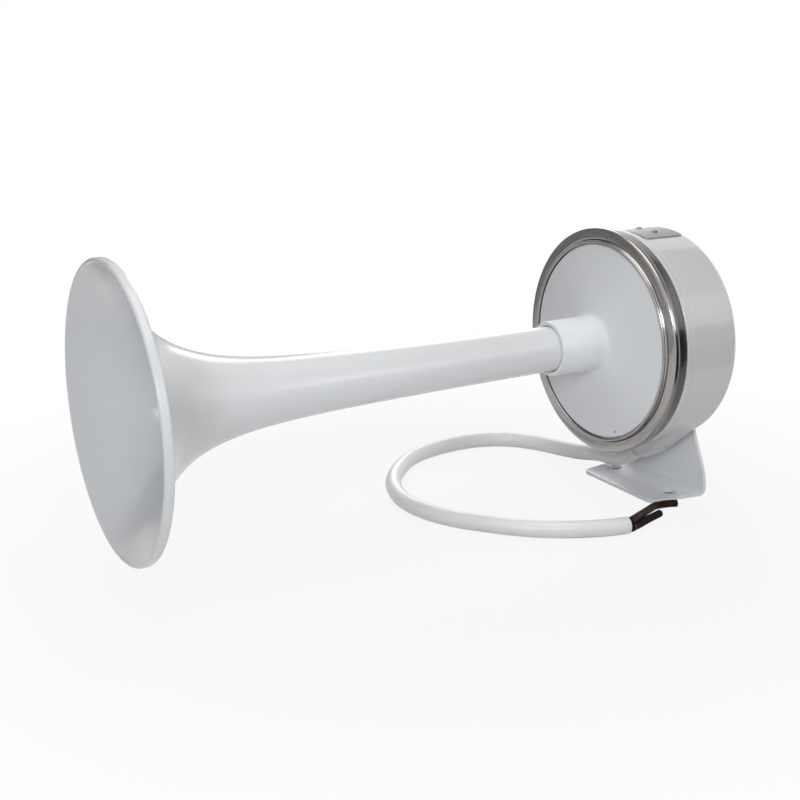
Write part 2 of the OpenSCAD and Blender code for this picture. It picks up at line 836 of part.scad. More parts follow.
module terminal_block() {
    front = wall_x + terminal_depth;
    color("ivory")
        difference() {
            block(wall_x, front, terminal_y - 8, terminal_y + 8, terminal_up - 6, terminal_up + 6);
            for (side = [-1, 1]) {
                translate([entry_x, terminal_y + side * terminal_pitch / 2, axis_h + terminal_up - 7])
                    cylinder(r = core_wire_r + ease, h = 9);
                rod(entry_x, front + 1, block_screw_r + fit, terminal_y + side * terminal_pitch / 2,
                    terminal_up - 1);
            }
            rod(wall_x - 1, front + 1, block_screw_r + 0.15, terminal_y, terminal_up + block_screw_up);
        }
}

module terminal_screws() {
    front = wall_x + terminal_depth;
    color("gold")
        for (side = [-1, 1]) {
            y = terminal_y + side * terminal_pitch / 2;
            rod(entry_x + core_wire_r + ease, front, block_screw_r, y, terminal_up - 1);
            difference() {
                rod(front, front + 1.8, 2.3, y, terminal_up - 1);
                block(front + 1, front + 2, y - 3, y + 3, terminal_up - 1.35, terminal_up - 0.65);
            }
        }
}

module block_screw() {
    wall_screw(wall_x + terminal_depth, terminal_y, terminal_up + block_screw_up);
}

// Direction of a route at one of its points
function tangent(p, i) =
    i == 0 ? (p[1] - p[0]) / norm(p[1] - p[0]) :
    i == len(p) - 1 ? (p[i] - p[i - 1]) / norm(p[i] - p[i - 1]) :
    (p[i + 1] - p[i - 1]) / norm(p[i + 1] - p[i - 1]);
// A direction square to a tangent and to a reference direction
function sideways(t, ref) = cross(t, ref) / norm(cross(t, ref));
function section(p, i, r, sides, ref) =
    let (t = tangent(p, i), u = sideways(t, ref), v = cross(t, u))
    [for (k = [0 : sides - 1]) let (a = 360 * (k + 0.5) / sides) p[i] + r * (cos(a) * u + sin(a) * v)];

// A round tube swept along a route, one ring at each point. No part of the route runs along ref.
module swept_tube(p, r, sides, ref = [0, 0, 1]) {
    n = len(p);
    points = [for (i = [0 : n - 1]) each section(p, i, r, sides, ref)];
    walls = [for (i = [0 : n - 2], k = [0 : sides - 1])
        let (a = i * sides + k, b = i * sides + (k + 1) % sides)
        each [[a, a + sides, b], [b, a + sides, b + sides]]];
    first = [for (k = [1 : sides - 2]) [0, k, k + 1]];
    top = (n - 1) * sides;
    last = [for (k = [1 : sides - 2]) [top, top + k + 1, top + k]];
    polyhedron(points, concat(walls, first, last));
}

// Where the jacket ends inside the drum
tail = 24;
inward = [0, cos(exit_tilt), sin(exit_tilt)];
function entry(side) = [
    entry_x, terminal_y + side * terminal_pitch / 2, axis_h + terminal_up - 10];

module inner_cable() {
    color("white")
        at_exit() translate([0, 0, -tail]) cylinder(r = cable_r, h = tail + boot_nose);
}

module inner_core(side) {
    start = exit_mouth + inward * tail + [side * 2.3, 0, 0];
    straight = start + inward * 2;
    parted = side > 0 ? [start + inward * 6 + [3, 0, 0]] : [];
    below = entry(side);
    middle = ((side > 0 ? parted[0] : straight) + below) / 2;
    swept_tube(concat([start, straight], parted,
            [middle, below + [0.6, -1, -0.2], below + [0, 0, 2.5], below + [0, 0, 9]]),
        core_wire_r, 12, [1, 0, 0]);
}

module inner_cores() {
    color("black") inner_core(-1);
    color("brown") inner_core(1);
}

// A lead from the winding's edge out through the shell's notch to a terminal
module coil_lead(x, end) {
    inside = shell_r - shell_wall - 1.4;
    outside = shell_r + 3;
    across = [0, cos(lead_angle), -sin(lead_angle)];
    base = [x, 0, axis_h];
    bend = base + outside * across;
    swept_tube([base + inside * across, bend, bend + across + (end - bend) / 12, end],
        0.8, 10, [1, 0, 0]);
}

module coil_leads() {
    color("firebrick") {
        coil_lead(shell_front - 7,
            [wall_x + terminal_depth - 3, terminal_y + 4, axis_h + terminal_up + 6.8]);
        coil_lead(shell_front - 3, [leaf_x - 4, block_y + 3, axis_h - block_w / 2 - 0.9]);
    }
}

module cable_boot() {
    color("lightgray")
        at_exit() difference() {
            union() {
                translate([0, 0, -sleeve_len]) cylinder(r = boot_r, h = sleeve_len + 1);
                cylinder(r = boss_r, h = 2);
                translate([0, 0, 2])
                    cylinder(r1 = boot_r + 1, r2 = cable_r + 1.4, h = boot_nose - 2);
            }
            translate([0, 0, -sleeve_len - 1]) cylinder(r = cable_r + fit, h = boot_nose + sleeve_len + 2);
        }
}

// Route of the free cable's centre line: down from the boot and round in one open loop
nose_end = exit_mouth - inward * boot_nose;
route = concat(
    [nose_end, nose_end - inward * 3],
    [[2, -7.6, 18], [2, -12.7, 14.6], [2, -18.2, 11.9], [2, -24, 9.9], [2, -30.1, 8.7],
     [2, -36.2, 8.2], [2.3, -42, 7.4], [3.4, -48, 6.2], [7, -55, 5.4], [12, -66, 5.2],
     [16.5, -77, 5.2], [22.5, -89, 5.2],
     [32.5, -101, 5.2], [47.5, -109.5, 5.2], [66, -112.3, 5.2], [86, -110.2, 5.2],
     [108, -102.3, 5.2], [127, -87.4, 5.2], [143, -68, 5.2], [152, -47, 5.2], [154.3, -28, 5.2],
     [150.5, -9, 5.2], [142.5, 7, 5.2], [133, 19.3, 5.2], [124, 30, 5.2], [114, 39.5, 5.2],
     [103, 47.5, 5.2], [91, 54, 5.2], [78, 59.3, 5.2], [70, 61.5, 5.2], [63.4, 62.6, 5.2]]);
// The two cores leave the jacket's cut end side by side, one over the other
jacket_end = route[len(route) - 1];
end_along = tangent(route, len(route) - 1);
core_offset = [0, 0, 1.5] - 1.5 * sideways(end_along, [0, 0, 1]);
black_route = concat(
    [for (d = [0, 2]) jacket_end - core_offset + d * end_along],
    [[58, 61.8, 2.7], [52, 59.4, 2.3], [41, 55.4, 2.3], [30, 52, 2.3]]);
brown_route = concat(
    [for (d = [0, 2]) jacket_end + core_offset + d * end_along],
    [[58, 60.4, 6.7], [53, 57.8, 6.2], [47, 53.9, 5.2], [40, 49.4, 3.8], [32, 44.6, 2.6],
     [24.5, 41.4, 2.3], [16, 42.2, 2.3], [10, 44.4, 2.3]]);

module cable_jacket() {
    color("white") swept_tube(route, cable_r, 10);
}

module black_core() {
    color("black") swept_tube(black_route, core_wire_r, 8);
}

module brown_core() {
    color("saddlebrown") swept_tube(brown_route, core_wire_r, 8);
}

trumpet();
trumpet_gasket();
front_cover();
clamp_ring();
front_gasket();
diaphragm();
rear_gasket();
housing();
nameplate();
nameplate_rivets();
mounting_bracket();
bracket_washer();
bracket_nut();
bracket_screws();
pole_core();
magnet_shell();
coil_bobbin();
coil_winding();
armature();
armature_washer();
armature_nut();
breaker_block();
contact_leaf();
push_button();
moving_contact();
breaker_spacer();
contact_arm();
fixed_contact();
breaker_washer();
breaker_screws();
adjusting_screw();
adjuster_nut();
adjuster_seal();
spark_capacitor();
capacitor_clip();
capacitor_screw();
terminal_block();
terminal_screws();
block_screw();
inner_cable();
inner_cores();
coil_leads();
cable_boot();
cable_jacket();
black_core();
brown_core();
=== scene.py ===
import json
import math

import bmesh
import bpy
import numpy as np
from mathutils import Matrix, Vector


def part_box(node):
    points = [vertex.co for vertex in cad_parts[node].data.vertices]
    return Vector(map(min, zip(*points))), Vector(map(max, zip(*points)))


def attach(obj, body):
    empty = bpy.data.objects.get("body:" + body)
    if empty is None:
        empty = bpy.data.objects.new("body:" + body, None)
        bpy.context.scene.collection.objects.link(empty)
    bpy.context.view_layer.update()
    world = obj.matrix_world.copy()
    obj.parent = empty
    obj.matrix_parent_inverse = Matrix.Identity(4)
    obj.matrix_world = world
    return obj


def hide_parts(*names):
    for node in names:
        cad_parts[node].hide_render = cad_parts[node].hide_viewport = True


# Marine electric horn. Lengths are written in millimetres in the part's own frame: X runs along
# the horn to the bell, Z is up, and the origin lies under the foot, midway between its holes.
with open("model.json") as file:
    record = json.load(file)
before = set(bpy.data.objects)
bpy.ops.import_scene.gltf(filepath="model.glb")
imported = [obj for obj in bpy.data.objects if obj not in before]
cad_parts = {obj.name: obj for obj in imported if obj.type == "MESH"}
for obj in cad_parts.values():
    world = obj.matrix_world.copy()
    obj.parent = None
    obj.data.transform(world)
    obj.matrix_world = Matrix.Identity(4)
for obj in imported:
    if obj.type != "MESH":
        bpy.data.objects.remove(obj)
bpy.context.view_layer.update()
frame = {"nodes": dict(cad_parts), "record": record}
MM = 0.001


def span(node):
    """Lowest and highest corner of a CAD node, in millimetres."""
    low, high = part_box(node)
    return np.array(low) / MM, np.array(high) / MM


# Sizes
AXIS_H = 97.0
TRUMPET_LOW, TRUMPET_HIGH = span("trumpet")
COVER_LOW, COVER_HIGH = span("front_cover")
RING_LOW, RING_HIGH = span("clamp_ring")
DRUM_LOW, DRUM_HIGH = span("housing")
BRACKET_LOW, BRACKET_HIGH = span("mounting_bracket")
PLATE_LOW, PLATE_HIGH = span("nameplate")

# Trumpet
SEAT_X = TRUMPET_LOW[0]
MOUTH_X = TRUMPET_HIGH[0]
MOUTH_R = TRUMPET_HIGH[1]
TUBE_R = 13.3
TRUMPET_WALL = 1.5
RIM_LEN = 5.2
RIM_W = 2.0
RIM_EDGE_R = 1.5
RIM_PROUD = 1.5
RIM_LIP_R = 0.5
RISE_R = 34.0
FLARE_LEN = 23.5
SWELL_LEN = 110.0
SWELL_R = 8.5
CURL_R = 12.0
CURL_LEN = 5.0

# Front cover
COVER_BACK = COVER_LOW[0]
NECK_MOUTH = COVER_HIGH[0]
FLANGE_R = COVER_HIGH[1]
NECK_R = 16.2
NECK_TAPER = 0.4
NECK_FILLET = 4.0
DOME_RISE = 5.5
DOME_WALL = 3.0
FACE_R = 57.6
FACE_FIT = 0.8
FACE_STEP = 2.0
FLANGE_T = 3.2
CHAMBER_R = FLANGE_R - 8.1
THROAT_R = 8.0
NECK_FLOOR = 5.0
DRAIN_R = 1.0
DRAIN_INSET = 2.6
DRAIN_SIDE = 0.383
DRAIN_DOWN = 0.924

# Drum
SHOULDER_R = 66.0
DRUM_R = 64.2
CAVITY_R = 61.7
GROOVE_R = 62.0
PAD_R = 22.0
PAD_H = 5.5
REAR_WALL = 6.0
REAR_EDGE_R = 4.0
SHOULDER_W = 4.8
DRUM_LEN = 35.5
FLANGE_LIP = 1.4
STUD_HOLE_R = 5.3

# Clamp ring
RING_BACK = RING_LOW[0]
RING_CORNER_R = RING_HIGH[1]
RING_SEAT = RING_BACK + 10.0
RING_T = 1.2
LIP_R = 62.2
BAND_R = 64.6
BEAD_R = 58.9
ROLL_R = 0.9

# Bracket
SHEET_T = 2.0
BEND_R = 2.5
FOOT_HALF_FRONT = 33.0
FOOT_HALF_REAR = 38.0
FOOT_CORNER_R = 6.0
WEB_HALF = 24.0
WEB_SHOULDER_H = 45.0
WEB_STRAIGHT_Z = 60.0
WEB_SCREW_HOLE_R = 2.8
HOLE_SPACING = 52.0
HOLE_R = 4.4
EDGE_R = 0.5

# Rear fasteners
STUD_R = 4.95
STUD_PITCH = 1.5
NUT_ACROSS = 17.0
WASHER_R = 9.9
CORE_BIG_R = 9.6
SHELL_WALL = 3.0
WEB_SCREW_Y = 15.0
WEB_SCREW_R = 2.45
WEB_SCREW_HEAD_R = 4.5
ADJUSTER_R = 2.5
ADJUSTER_PITCH = 0.8
ADJUSTER_ACROSS = 8.0

# Cable
CABLE_R = 5.0
CORE_R = 2.25
EXIT_MOUTH = np.array([2.0, 2.0, 27.0])
INWARD = np.array([0.0, math.cos(math.radians(45)), math.sin(math.radians(45))])
BOOT_R = 6.9
BOSS_R = 9.2
BOSS_LEN = 27.0
BOOT_NOSE = 7.0
SLEEVE_LEN = 16.0
CHIN_BACK = 0.8
NOSE_END = EXIT_MOUTH - INWARD * BOOT_NOSE
ROUTE = np.array([
    NOSE_END, NOSE_END - INWARD * 3,
    (2, -7.6, 18), (2, -12.7, 14.6), (2, -18.2, 11.9), (2, -24, 9.9), (2, -30.1, 8.7),
    (2, -36.2, 8.2), (2.3, -42, 7.4), (3.4, -48, 6.2), (7, -55, 5.4), (12, -66, 5.2),
    (16.5, -77, 5.2), (22.5, -89, 5.2), (32.5, -101, 5.2), (47.5, -109.5, 5.2), (66, -112.3, 5.2),
    (86, -110.2, 5.2), (108, -102.3, 5.2), (127, -87.4, 5.2), (143, -68, 5.2), (152, -47, 5.2),
    (154.3, -28, 5.2), (150.5, -9, 5.2), (142.5, 7, 5.2), (133, 19.3, 5.2), (124, 30, 5.2),
    (114, 39.5, 5.2), (103, 47.5, 5.2), (91, 54, 5.2), (78, 59.3, 5.2), (70, 61.5, 5.2),
    (63.4, 62.6, 5.2)])
JACKET_END = ROUTE[-1]
END_ALONG = (ROUTE[-1] - ROUTE[-2]) / np.linalg.norm(ROUTE[-1] - ROUTE[-2])
END_SIDE = np.array([END_ALONG[1], -END_ALONG[0], 0.0])
CORE_OFFSET = np.array([0, 0, 1.5]) - 1.5 * END_SIDE
BLACK_ROUTE = np.array([
    JACKET_END - CORE_OFFSET, JACKET_END - CORE_OFFSET + 2 * END_ALONG,
    (58, 61.8, 2.7), (52, 59.4, 2.3), (41, 55.4, 2.3), (30, 52, 2.3)])
BROWN_ROUTE = np.array([
    JACKET_END + CORE_OFFSET, JACKET_END + CORE_OFFSET + 2 * END_ALONG,
    (58, 60.4, 6.7), (53, 57.8, 6.2), (47, 53.9, 5.2), (40, 49.4, 3.8), (32, 44.6, 2.6),
    (24.5, 41.4, 2.3), (16, 42.2, 2.3), (10, 44.4, 2.3)])

# Nameplate
PLATE_HALF_ANGLE = 14.7
PLATE_T = 0.6
RIVET_SPACING = 14.0
RIVET_R = 1.2

# Camera of the photograph, fitted to the horn's own circles
CAMERA_AT = Vector((517.47, 588.69, 279.65)) * MM
CAMERA_AHEAD = Vector((-0.47988, -0.83106, -0.28117))
CAMERA_RIGHT = Vector((-0.86600, 0.50005, 0.0))
CAMERA_LENS = 57.67


# Camera, light and floor
def make_camera():
    """The photograph's camera, from its place and the directions ahead and to its right."""
    data = bpy.data.cameras.new("camera")
    data.lens = CAMERA_LENS
    data.sensor_width = 36
    data.clip_start = 0.01
    data.clip_end = 20
    camera = bpy.data.objects.new("camera", data)
    bpy.context.collection.objects.link(camera)
    ahead = CAMERA_AHEAD.normalized()
    right = CAMERA_RIGHT.normalized()
    up = right.cross(ahead)
    turn = Matrix((right, up, -ahead)).transposed().to_4x4()
    camera.matrix_world = Matrix.Translation(CAMERA_AT) @ turn
    bpy.context.scene.camera = camera


def make_lamp(name, at, aim, size, power, colour=(1, 1, 1)):
    """A square area lamp at a point, facing another one. Places in metres, power in watts."""
    data = bpy.data.lights.new(name, "AREA")
    data.size = size
    data.energy = power
    data.color = colour
    lamp = bpy.data.objects.new(name, data)
    bpy.context.collection.objects.link(lamp)
    way = Vector(aim) - Vector(at)
    lamp.matrix_world = Matrix.Translation(at) @ way.to_track_quat("-Z", "Y").to_matrix().to_4x4()


def background_rays(nodes, links):
    """1 for rays that should see the white background: from the camera, mirrored or passed on."""
    path = nodes.new("ShaderNodeLightPath")
    first = nodes.new("ShaderNodeMath")
    first.operation = "MAXIMUM"
    links.new(path.outputs["Is Camera Ray"], first.inputs[0])
    links.new(path.outputs["Is Glossy Ray"], first.inputs[1])
    both = nodes.new("ShaderNodeMath")
    both.operation = "MAXIMUM"
    links.new(first.outputs[0], both.inputs[0])
    links.new(path.outputs["Is Transmission Ray"], both.inputs[1])
    return both.outputs[0]


def make_world():
    """Even pale light, with pure white behind the horn for the rays that see the background."""
    world = bpy.data.worlds.new("studio")
    bpy.context.scene.world = world
    world.use_nodes = True
    nodes, links = world.node_tree.nodes, world.node_tree.links
    nodes.clear()
    soft = nodes.new("ShaderNodeBackground")
    soft.inputs["Color"].default_value = (0.96, 0.98, 1.0, 1)
    soft.inputs["Strength"].default_value = 0.12
    white = nodes.new("ShaderNodeBackground")
    white.inputs["Color"].default_value = (1, 1, 1, 1)
    white.inputs["Strength"].default_value = 1.0
    mix = nodes.new("ShaderNodeMixShader")
    links.new(background_rays(nodes, links), mix.inputs[0])
    links.new(soft.outputs[0], mix.inputs[1])
    links.new(white.outputs[0], mix.inputs[2])
    out = nodes.new("ShaderNodeOutputWorld")
    links.new(mix.outputs[0], out.inputs["Surface"])


def level_card(xs, ys, z):
    """Corners of a level rectangle between two x and two y."""
    return [(xs[0], ys[0], z), (xs[1], ys[0], z), (xs[1], ys[1], z), (xs[0], ys[1], z)]


def upright_card(xs, y, zs):
    """Corners of an upright rectangle between two x and two z."""
    return [(xs[0], y, zs[0]), (xs[1], y, zs[0]), (xs[1], y, zs[1]), (xs[0], y, zs[1])]


def stage_card(name, corners, finish):
    """A rectangle that isn't part of the horn, in metres."""
    mesh = bpy.data.meshes.new(name)
    mesh.from_pydata(corners, [], [(0, 1, 2, 3)])
    mesh.materials.append(finish)
    card = bpy.data.objects.new(name, mesh)
    bpy.context.collection.objects.link(card)
    return card


def make_floor():
    """A wide floor that shows white to the background rays and keeps a faint shadow of the horn:
    its share of plain white grows with the distance from the horn's middle. Under the foot lies
    a darker grey patch, painted shade, so that the bolt holes look down on shade."""
    finish = bpy.data.materials.new("floor_white")
    finish.use_nodes = True
    nodes, links = finish.node_tree.nodes, finish.node_tree.links
    nodes.clear()
    paper = nodes.new("ShaderNodeBsdfDiffuse")
    paper.inputs["Color"].default_value = (0.66, 0.66, 0.66, 1)
    glow = nodes.new("ShaderNodeEmission")
    glow.inputs["Strength"].default_value = 1.0
    place = nodes.new("ShaderNodeTexCoord")
    away = nodes.new("ShaderNodeVectorMath")
    away.operation = "DISTANCE"
    away.inputs[1].default_value = (0.14, 0.0, 0.0)
    links.new(place.outputs["Object"], away.inputs[0])
    far = nodes.new("ShaderNodeMapRange")
    far.interpolation_type = "SMOOTHSTEP"
    far.inputs["From Min"].default_value = 0.12
    far.inputs["From Max"].default_value = 0.42
    far.inputs["To Min"].default_value = 0.87
    far.inputs["To Max"].default_value = 1.0
    links.new(away.outputs["Value"], far.inputs["Value"])
    share = nodes.new("ShaderNodeMath")
    share.operation = "MULTIPLY"
    links.new(background_rays(nodes, links), share.inputs[0])
    links.new(far.outputs["Result"], share.inputs[1])
    mix = nodes.new("ShaderNodeMixShader")
    links.new(share.outputs[0], mix.inputs[0])
    links.new(paper.outputs[0], mix.inputs[1])
    links.new(glow.outputs[0], mix.inputs[2])
    out = nodes.new("ShaderNodeOutputMaterial")
    links.new(mix.outputs[0], out.inputs["Surface"])
    stage_card("floor", level_card((-8, 8), (-8, 8), -0.0004), finish)
    # The patch under the foot is darker grey than the floor: painted shade seen through the bolt
    # holes.
    shade = bpy.data.materials.new("floor_shade")
    shade.use_nodes = True
    plain = shade.node_tree.nodes["Principled BSDF"]
    plain.inputs["Base Color"].default_value = (0.30, 0.29, 0.28, 1)
    stage_card("painted_shade_patch", level_card((-0.012, 0.018), (-0.033, 0.033), -0.0002), shade)


def make_flags():
    """Dark and grey cards round the horn that only mirrored rays see, for contrast on steel and
    gloss. Each has its own plain glow, so the lamps don't change it. In metres: a level card has
    a span of x, a span of y and its height, an upright one a span of x, its y and a span of z."""
    cards = {
        "flag_side": (0.01, upright_card((-0.34, 0.03), 0.20, (0, 0.158))),
        "flag_low": (0.6, level_card((-0.34, 0.1), (-0.02, 0.2), 0.001)),
        "flag_over": (0.35, level_card((-0.6, -0.12), (-0.15, 0.34), 0.5)),
        "flag_back": (0.32, upright_card((0.02, 0.6), -0.4, (0, 0.6)))}
    for name, (tone, corners) in cards.items():
        finish = bpy.data.materials.new(name)
        finish.use_nodes = True
        shader = finish.node_tree.nodes["Principled BSDF"]
        shader.inputs["Base Color"].default_value = (0, 0, 0, 1)
        shader.inputs["Specular IOR Level"].default_value = 0
        shader.inputs["Emission Color"].default_value = (1, 0.98, 0.97, 1)
        shader.inputs["Emission Strength"].default_value = tone
        card = stage_card(name, corners, finish)
        card.visible_camera = False
        card.visible_diffuse = False
        card.visible_shadow = False
        card.visible_transmission = False


# Shapes
def eased(points, radii, steps=5):
    """A closed outline with its corners rounded: each corner gives way to a quadratic curve that
    starts and ends one radius away from it, or at half of a shorter side."""
    points = np.asarray(points, float)
    t = np.linspace(0, 1, steps)[:, None]
    rows = []
    for i, radius in enumerate(radii):
        before, corner, after = points[i - 1], points[i], points[(i + 1) % len(points)]
        if radius == 0:
            rows.append(corner[None])
            continue
        to_before, to_after = before - corner, after - corner
        reach_before = min(radius, np.linalg.norm(to_before) * 0.5)
        reach_after = min(radius, np.linalg.norm(to_after) * 0.5)
        start = corner + to_before / np.linalg.norm(to_before) * reach_before
        end = corner + to_after / np.linalg.norm(to_after) * reach_after
        rows.append((1 - t) ** 2 * start + 2 * t * (1 - t) * corner + t ** 2 * end)
    return np.concatenate(rows)


def ring_arc(centre, radius, start, end, steps):
    """Points of a circle's arc in a turned outline, as [radius, distance along the axis]."""
    a = np.radians(np.linspace(start, end, steps))
    return np.stack([centre[0] + radius * np.cos(a), centre[1] + radius * np.sin(a)], axis=1)


def turned(outline, sides=192, foot=(0.0, 0.0, AXIS_H), along=(1.0, 0.0, 0.0)):
    """Surface of revolution. outline rows are [radius r, distance d]; the point at angle a is
    foot + d * along + r * (cos a * side + sin a * other), side and other square to along."""
    outline = np.asarray(outline, float)
    along = np.asarray(along, float) / np.linalg.norm(along)
    side = np.cross(along, (0, 0, 1.0) if abs(along[2]) < 0.9 else (1.0, 0, 0))
    side = side / np.linalg.norm(side)
    other = np.cross(along, side)
    a = np.linspace(0, 2 * math.pi, sides, endpoint=False)
    spoke = np.cos(a)[:, None] * side + np.sin(a)[:, None] * other
    return np.asarray(foot) + outline[:, 1, None, None] * along + outline[:, 0, None, None] * spoke


def smooth_route(points, step=1.5):
    """Catmull-Rom curve through the points, sampled about every step millimetres."""
    points = np.asarray(points, float)
    ends = np.concatenate([[2 * points[0] - points[1]], points, [2 * points[-1] - points[-2]]])
    rows = []
    for i in range(1, len(ends) - 2):
        p0, p1, p2, p3 = ends[i - 1:i + 3]
        count = max(2, int(round(np.linalg.norm(p2 - p1) / step)))
        t = np.linspace(0, 1, count, endpoint=False)[:, None]
        rows.append(0.5 * (2 * p1 + (p2 - p0) * t + (2 * p0 - 5 * p1 + 4 * p2 - p3) * t ** 2
                           + (3 * p1 - p0 - 3 * p2 + p3) * t ** 3))
    rows.append(points[-1:])
    return np.concatenate(rows)


def travelled(route):
    """Distance along a route at each of its points."""
    return np.concatenate([[0], np.cumsum(np.linalg.norm(np.diff(route, axis=0), axis=1))])


def swept(route, stations, sides=32):
    """Round tube along a route. stations rows are [distance s, radius r]: the ring at s has its
    centre on the route and lies square to the route's direction there."""
    stations = np.asarray(stations, float)
    reached = travelled(route)
    slope = np.gradient(route, axis=0)
    centre = np.stack([np.interp(stations[:, 0], reached, route[:, k]) for k in range(3)], axis=1)
    way = np.stack([np.interp(stations[:, 0], reached, slope[:, k]) for k in range(3)], axis=1)
    way /= np.linalg.norm(way, axis=1)[:, None]
    side = np.cross(way, (0, 0, 1.0))
    side /= np.linalg.norm(side, axis=1)[:, None]
    other = np.cross(way, side)
    a = np.linspace(0, 2 * math.pi, sides, endpoint=False)
    spoke = np.cos(a)[:, None] * side[:, None] + np.sin(a)[:, None] * other[:, None]
    return centre[:, None] + stations[:, 1, None, None] * spoke


def grid_faces(rows, sides, looped, first=0):
    """Quads between neighbouring rings of a grid, closed round each ring, and from the last ring
    to the first where the outline is a loop."""
    count = rows if looped else rows - 1
    i, j = np.meshgrid(np.arange(count), np.arange(sides), indexing="ij")
    i2, j2 = (i + 1) % rows, (j + 1) % sides
    quads = np.stack([i * sides + j, i2 * sides + j, i2 * sides + j2, i * sides + j2], axis=-1)
    return quads.reshape(-1, 4) + first


def shell(name, *grids, sharp=32):
    """A mesh object from one or more grids of rings, each given as (grid, looped). Rings that
    shrink to a point are merged, other open ends are closed flat, and faces point outwards."""
    points, faces, start = [], [], 0
    for grid, looped in grids:
        rows, sides = grid.shape[:2]
        points.append(grid.reshape(-1, 3))
        faces += grid_faces(rows, sides, looped, start).tolist()
        if not looped:
            faces.append(list(range(start, start + sides)))
            faces.append(list(range(start + (rows - 1) * sides, start + rows * sides)))
        start += rows * sides
    mesh = bpy.data.meshes.new(name)
    mesh.from_pydata((np.concatenate(points) * MM).tolist(), [], faces)
    work = bmesh.new()
    work.from_mesh(mesh)
    bmesh.ops.remove_doubles(work, verts=work.verts, dist=1e-7)
    bmesh.ops.dissolve_degenerate(work, edges=work.edges, dist=1e-8)
    bmesh.ops.recalc_face_normals(work, faces=work.faces)
    work.to_mesh(mesh)
    work.free()
    piece = bpy.data.objects.new(name, mesh)
    bpy.context.collection.objects.link(piece)
    soften(piece, sharp)
    return piece


def soften(piece, sharp):
    """Smooth shading with edges kept sharp above an angle in degrees."""
    mesh = piece.data
    mesh.polygons.foreach_set("use_smooth", [True] * len(mesh.polygons))
    mesh.set_sharp_from_angle(angle=math.radians(sharp))


def carve(piece, tool, operation="DIFFERENCE", sharp=32):
    """Cuts a tool's shape out of a piece, or joins it on, and takes the tool away."""
    change = piece.modifiers.new("carve", "BOOLEAN")
    change.operation = operation
    change.solver = "EXACT"
    change.object = tool
    bpy.context.view_layer.update()
    done = piece.evaluated_get(bpy.context.evaluated_depsgraph_get())
    mesh = bpy.data.meshes.new_from_object(done)
    piece.modifiers.clear()
    piece.data = mesh
    bpy.data.objects.remove(tool)
    soften(piece, sharp)


def drill(piece, at, along, radius, depth, sides=64):
    """Cuts a round hole that runs along a direction from a point."""
    tool = shell("drill", (turned([[radius, 0], [radius, depth]], sides, at, along), False))
    carve(piece, tool)


def dress(piece, body, finish, slot, *nodes):
    """Gives a piece its material and its body, and hides the CAD nodes that it stands for.
    The slot argument is not used.
    """
    piece.data.materials.clear()
    piece.data.materials.append(finish)
    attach(piece, body)
    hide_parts(*nodes)
    return piece


# Materials
COAT_ROUGHNESS = 0.05


def finish_base(name, colour, roughness, metallic=0.0, coat=0.0):
    """A principled material and its node tree; constants sit on the shader's own sockets."""
    made = bpy.data.materials.new(name)
    made.use_nodes = True
    nodes, links = made.node_tree.nodes, made.node_tree.links
    shader = nodes["Principled BSDF"]
    shader.inputs["Base Color"].default_value = (*colour, 1)
    shader.inputs["Roughness"].default_value = roughness
    shader.inputs["Metallic"].default_value = metallic
    shader.inputs["Coat Weight"].default_value = coat
    shader.inputs["Coat Roughness"].default_value = COAT_ROUGHNESS
    return made, nodes, links, shader


def pattern(nodes, links, scale, detail=3.0, stretch=(1, 1, 1), roughness=0.5):
    """Noise on Object coordinates; scale counts features per metre before the stretch."""
    place = nodes.new("ShaderNodeTexCoord")
    turn = nodes.new("ShaderNodeMapping")
    turn.inputs["Scale"].default_value = stretch
    noise = nodes.new("ShaderNodeTexNoise")
    noise.inputs["Scale"].default_value = scale
    noise.inputs["Detail"].default_value = detail
    noise.inputs["Roughness"].default_value = roughness
    links.new(place.outputs["Object"], turn.inputs["Vector"])
    links.new(turn.outputs["Vector"], noise.inputs["Vector"])
    return noise.outputs["Fac"]


def blended(nodes, links, factor, low, high):
    """A colour between two, by a factor spread over the middle of its range."""
    ramp = nodes.new("ShaderNodeValToRGB")
    ramp.color_ramp.elements[0].position = 0.3
    ramp.color_ramp.elements[1].position = 0.7
    ramp.color_ramp.elements[0].color = (*low, 1)
    ramp.color_ramp.elements[1].color = (*high, 1)
    links.new(factor, ramp.inputs["Fac"])
    return ramp.outputs["Color"]


def ranged(nodes, links, factor, low, high):
    """A number between two, by a factor spread over the middle of its range."""
    spread = nodes.new("ShaderNodeMapRange")
    spread.inputs["From Min"].default_value = 0.3
    spread.inputs["From Max"].default_value = 0.7
    spread.inputs["To Min"].default_value = low
    spread.inputs["To Max"].default_value = high
    links.new(factor, spread.inputs["Value"])
    return spread.outputs["Result"]


def raised(nodes, links, shader, height, distance):
    """Bump from a height pattern; distance in metres."""
    bump = nodes.new("ShaderNodeBump")
    bump.inputs["Strength"].default_value = 0.5
    bump.inputs["Distance"].default_value = distance
    links.new(height, bump.inputs["Height"])
    links.new(bump.outputs["Normal"], shader.inputs["Normal"])


def scaled(colour, factor):
    """A colour made lighter or darker by a factor, at most white."""
    return tuple(min(1.0, c * factor) for c in colour)


def moulded_finish(name, colour, roughness, grain=900, depth=1.5e-6):
    """Gloss moulded plastic: faint cloudy tone, slightly uneven gloss and a very fine skin."""
    made, nodes, links, shader = finish_base(name, colour, roughness)
    cloud = pattern(nodes, links, 22, 2)
    links.new(blended(nodes, links, cloud, scaled(colour, 0.985), scaled(colour, 1.01)),
              shader.inputs["Base Color"])
    patch = pattern(nodes, links, 240, 4)
    links.new(ranged(nodes, links, patch, roughness * 0.94, roughness * 1.07),
              shader.inputs["Roughness"])
    raised(nodes, links, shader, pattern(nodes, links, grain, 2), depth)
    return made


